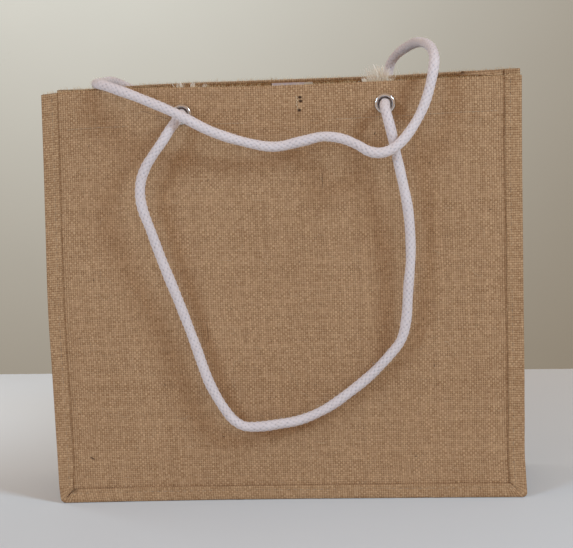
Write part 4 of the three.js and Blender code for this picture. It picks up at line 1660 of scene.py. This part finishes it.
def add_hairs(rng, side, name, material):
    """Thin pale hairs that lie all over a panel in any direction."""
    count = 420
    across, up = rng.uniform(-0.183, 0.183, count), rng.uniform(0.015, 0.350, count)
    angle = rng.uniform(0, np.pi, count)
    length = rng.uniform(0.003, 0.012, count)
    lines = surface_strands(rng, side, across, up, angle, length, 6, 0.00060, 1.2)
    radius = rng.uniform(0.00004, 0.00008, (count, 1)) * np.ones((1, 6))
    add_strands(name, lines, radius, material, sides=3)


def add_fringe(rng, side, name, material):
    """Short fibres that stand up from a panel's folded top, each leaning its own way."""
    count, root = 1500, 0.0010
    across = rng.uniform(-0.199, 0.199, (count, 1))
    tall = np.clip(rng.gamma(2.2, 0.00055, (count, 1)), 0.0004, 0.0036)
    lean = rng.normal(0, 0.7, (count, 2, 1))
    t = np.linspace(0, 1, 4)[None, :]
    a = across + lean[:, 0] * tall * t**1.5
    inset = rng.uniform(0.0002, 0.0019, (count, 1)) + lean[:, 1] * tall * t**1.5 * 0.6
    lines = place(side, a, HEIGHT - root + (tall + root) * t, inset)
    taper = np.array([[0.00010, 0.00009, 0.00007, 0.00004]])
    radius = taper * rng.uniform(0.6, 1.2, (count, 1))
    add_strands(name, lines, radius, material, sides=3)


class TOTE_OT_flecks(ToteOperator, Operator):
    """Scatter the straws, slubs and stray fibres that rough jute has"""

    bl_idname = "tote.flecks"
    bl_label = "Straws and stray fibres"

    def execute(self, context):
        dark = thread_material("Dark straw", (0.07, 0.035, 0.018), (0.15, 0.085, 0.045))
        pale = thread_material("Pale fibre", (0.36, 0.25, 0.15), (0.66, 0.52, 0.35))
        golden = thread_material("Rim fibre", (0.50, 0.35, 0.18), (0.90, 0.71, 0.42))
        for side, word in ((FRONT, "front"), (BACK, "back")):
            rng = np.random.default_rng(7 + side)
            add_straws(rng, side, "straws_" + word, dark)
            add_hairs(rng, side, "hairs_" + word, pale)
            add_fringe(rng, side, "fringe_" + word, golden)
        add_snag(pale)
        add_knot_in_hem(thread_material("Knotted jute", (0.17, 0.085, 0.035), (0.30, 0.16, 0.07)))
        return {"FINISHED"}


def add_snag(material):
    """The pulled thread beside the parted weave: it wanders up the front panel in small
    loops that lift off it."""
    t = np.linspace(0, 1, 60)
    across = 0.0164 + 0.00055 * np.sin(31 * t) + 0.0004 * np.sin(12 * t)
    up = 0.3318 + 0.0130 * t + 0.0004 * np.sin(24 * t)
    lift = 0.0004 + 0.0004 * np.sin(17 * t) ** 2
    line = place(FRONT, across, up, -lift)[None]
    radius = 0.00030 * np.sin(np.pi * np.clip(t, 0.06, 0.94))[None] ** 0.5
    add_strands("snagged_thread", line, radius, material, 6, np.array([0.9]))


def add_knot_in_hem(material):
    """A small dark knot of jute on the fold of the back hem: a thread that winds twice."""
    points, thick = 40, 0.00050
    t = np.linspace(0, 4 * np.pi, points)
    across = 0.1518 + 0.0009 * np.cos(t) + 0.0003 * np.cos(2.7 * t)
    up = HEIGHT - 0.0006 + 0.0006 * np.sin(t)
    line = place(BACK, across, up, 0.0026 + 0.0004 * np.sin(1.5 * t))[None]
    radius = np.full((1, points), thick)
    add_strands("hem_knot", line, radius, material, 6, np.array([0.6]))


class TOTE_OT_stage(ToteOperator, Operator):
    """Add the plain surface, the plain wall and the soft lights"""

    bl_idname = "tote.stage"
    bl_label = "Stage and lights"

    def execute(self, context):
        stage = context.scene.tote_stage
        floor = [(-3, -3.5, 0), (3, -3.5, 0), (3, 0.328, 0), (-3, 0.514, 0)]
        wall = [(-6, 3.2, -2), (6, 3.2, -2), (6, 3.2, 4), (-6, 3.2, 4)]
        boards = (
            ("stage_floor", floor, stage.floor_colour, 0.9),
            ("stage_wall", wall, stage.wall_colour, 1.0),
        )
        for name, corners, colour, roughness in boards:
            mesh = bpy.data.meshes.new(name)
            mesh.from_pydata(corners, [], [(0, 1, 2, 3)])
            mesh.materials.append(stage_material(name, colour, roughness))
            board = bpy.data.objects.new(name, mesh)
            context.scene.collection.objects.link(board)
        middle, distance = np.array([0.0, 0.0, 0.18]), 2.4
        eye = middle + distance * direction(-42, 20)
        add_light("left_light", eye, middle, stage.left_light, 0.75, (0.49, 0.74, 1.0))
        eye = middle + distance * direction(57, 35)
        add_light("right_light", eye, middle, stage.right_light, 0.5, (0.59, 0.80, 1.0))
        eye, target = (-0.50, 0.19, 0.32), (-0.27, 0.31, 0.0)
        add_light("side_light", eye, target, stage.side_light, 0.15, (0.84, 0.93, 1.0), 130)
        eye, target = (-0.85, 1.65, 0.95), (-0.85, 3.2, 0.9)
        add_light("wall_light", eye, target, stage.wall_light, 0.8, (0.605, 0.714, 1.0))
        world = bpy.data.worlds.new("Room")
        world.use_nodes = True
        background = world.node_tree.nodes["Background"].inputs
        background["Color"].default_value = (1.0, 0.71, 0.50, 1.0)
        background["Strength"].default_value = stage.room_light
        context.scene.world = world
        return {"FINISHED"}


def add_light(name, eye, target, power, size, colour, beam=180):
    """A square soft light at a place, turned towards a target, its beam so many degrees wide."""
    lamp = bpy.data.lights.new(name, "AREA")
    lamp.energy, lamp.size, lamp.color = power, size, colour
    lamp.spread = math.radians(beam)
    light = add_aimed(name, lamp, eye, unit(np.array(eye) - np.array(target)))
    light.visible_camera = False


# The add-on's panel, and the order of work

STEPS = (
    TOTE_OT_camera,
    TOTE_OT_handles,
    TOTE_OT_knots,
    TOTE_OT_panels,
    TOTE_OT_gusset,
    TOTE_OT_bindings,
    TOTE_OT_stitches,
    TOTE_OT_label,
    TOTE_OT_eyelets,
    TOTE_OT_flecks,
    TOTE_OT_stage,
)


class TOTE_PT_sidebar(Panel):
    """The tote bag's settings and steps"""

    bl_label = "Jute Tote Bag"
    bl_idname = "TOTE_PT_sidebar"
    bl_space_type = "VIEW_3D"
    bl_region_type = "UI"
    bl_category = "Tote Bag"

    def draw(self, context):
        layout = self.layout
        for title, settings in (
            ("Cloth", context.scene.tote_cloth),
            ("Rope and metal", context.scene.tote_rope),
            ("Stage", context.scene.tote_stage),
        ):
            box = layout.box()
            box.label(text=title)
            for name in type(settings).__annotations__:
                box.prop(settings, name)
        column = layout.column(align=True)
        for step in STEPS:
            column.operator(step.bl_idname)


CLASSES = (ToteCloth, ToteRope, ToteStage, *STEPS, TOTE_PT_sidebar)


def register():
    for each in CLASSES:
        bpy.utils.register_class(each)
    bpy.types.Scene.tote_cloth = PointerProperty(type=ToteCloth)
    bpy.types.Scene.tote_rope = PointerProperty(type=ToteRope)
    bpy.types.Scene.tote_stage = PointerProperty(type=ToteStage)


def unregister():
    del bpy.types.Scene.tote_stage
    del bpy.types.Scene.tote_rope
    del bpy.types.Scene.tote_cloth
    for each in reversed(CLASSES):
        bpy.utils.unregister_class(each)


def main():
    register()
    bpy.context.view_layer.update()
    plain_weave_group()
    patina_group()
    for step in STEPS:
        group, name = step.bl_idname.split(".")
        getattr(getattr(bpy.ops, group), name)()


if __name__ == "__main__":
    main()
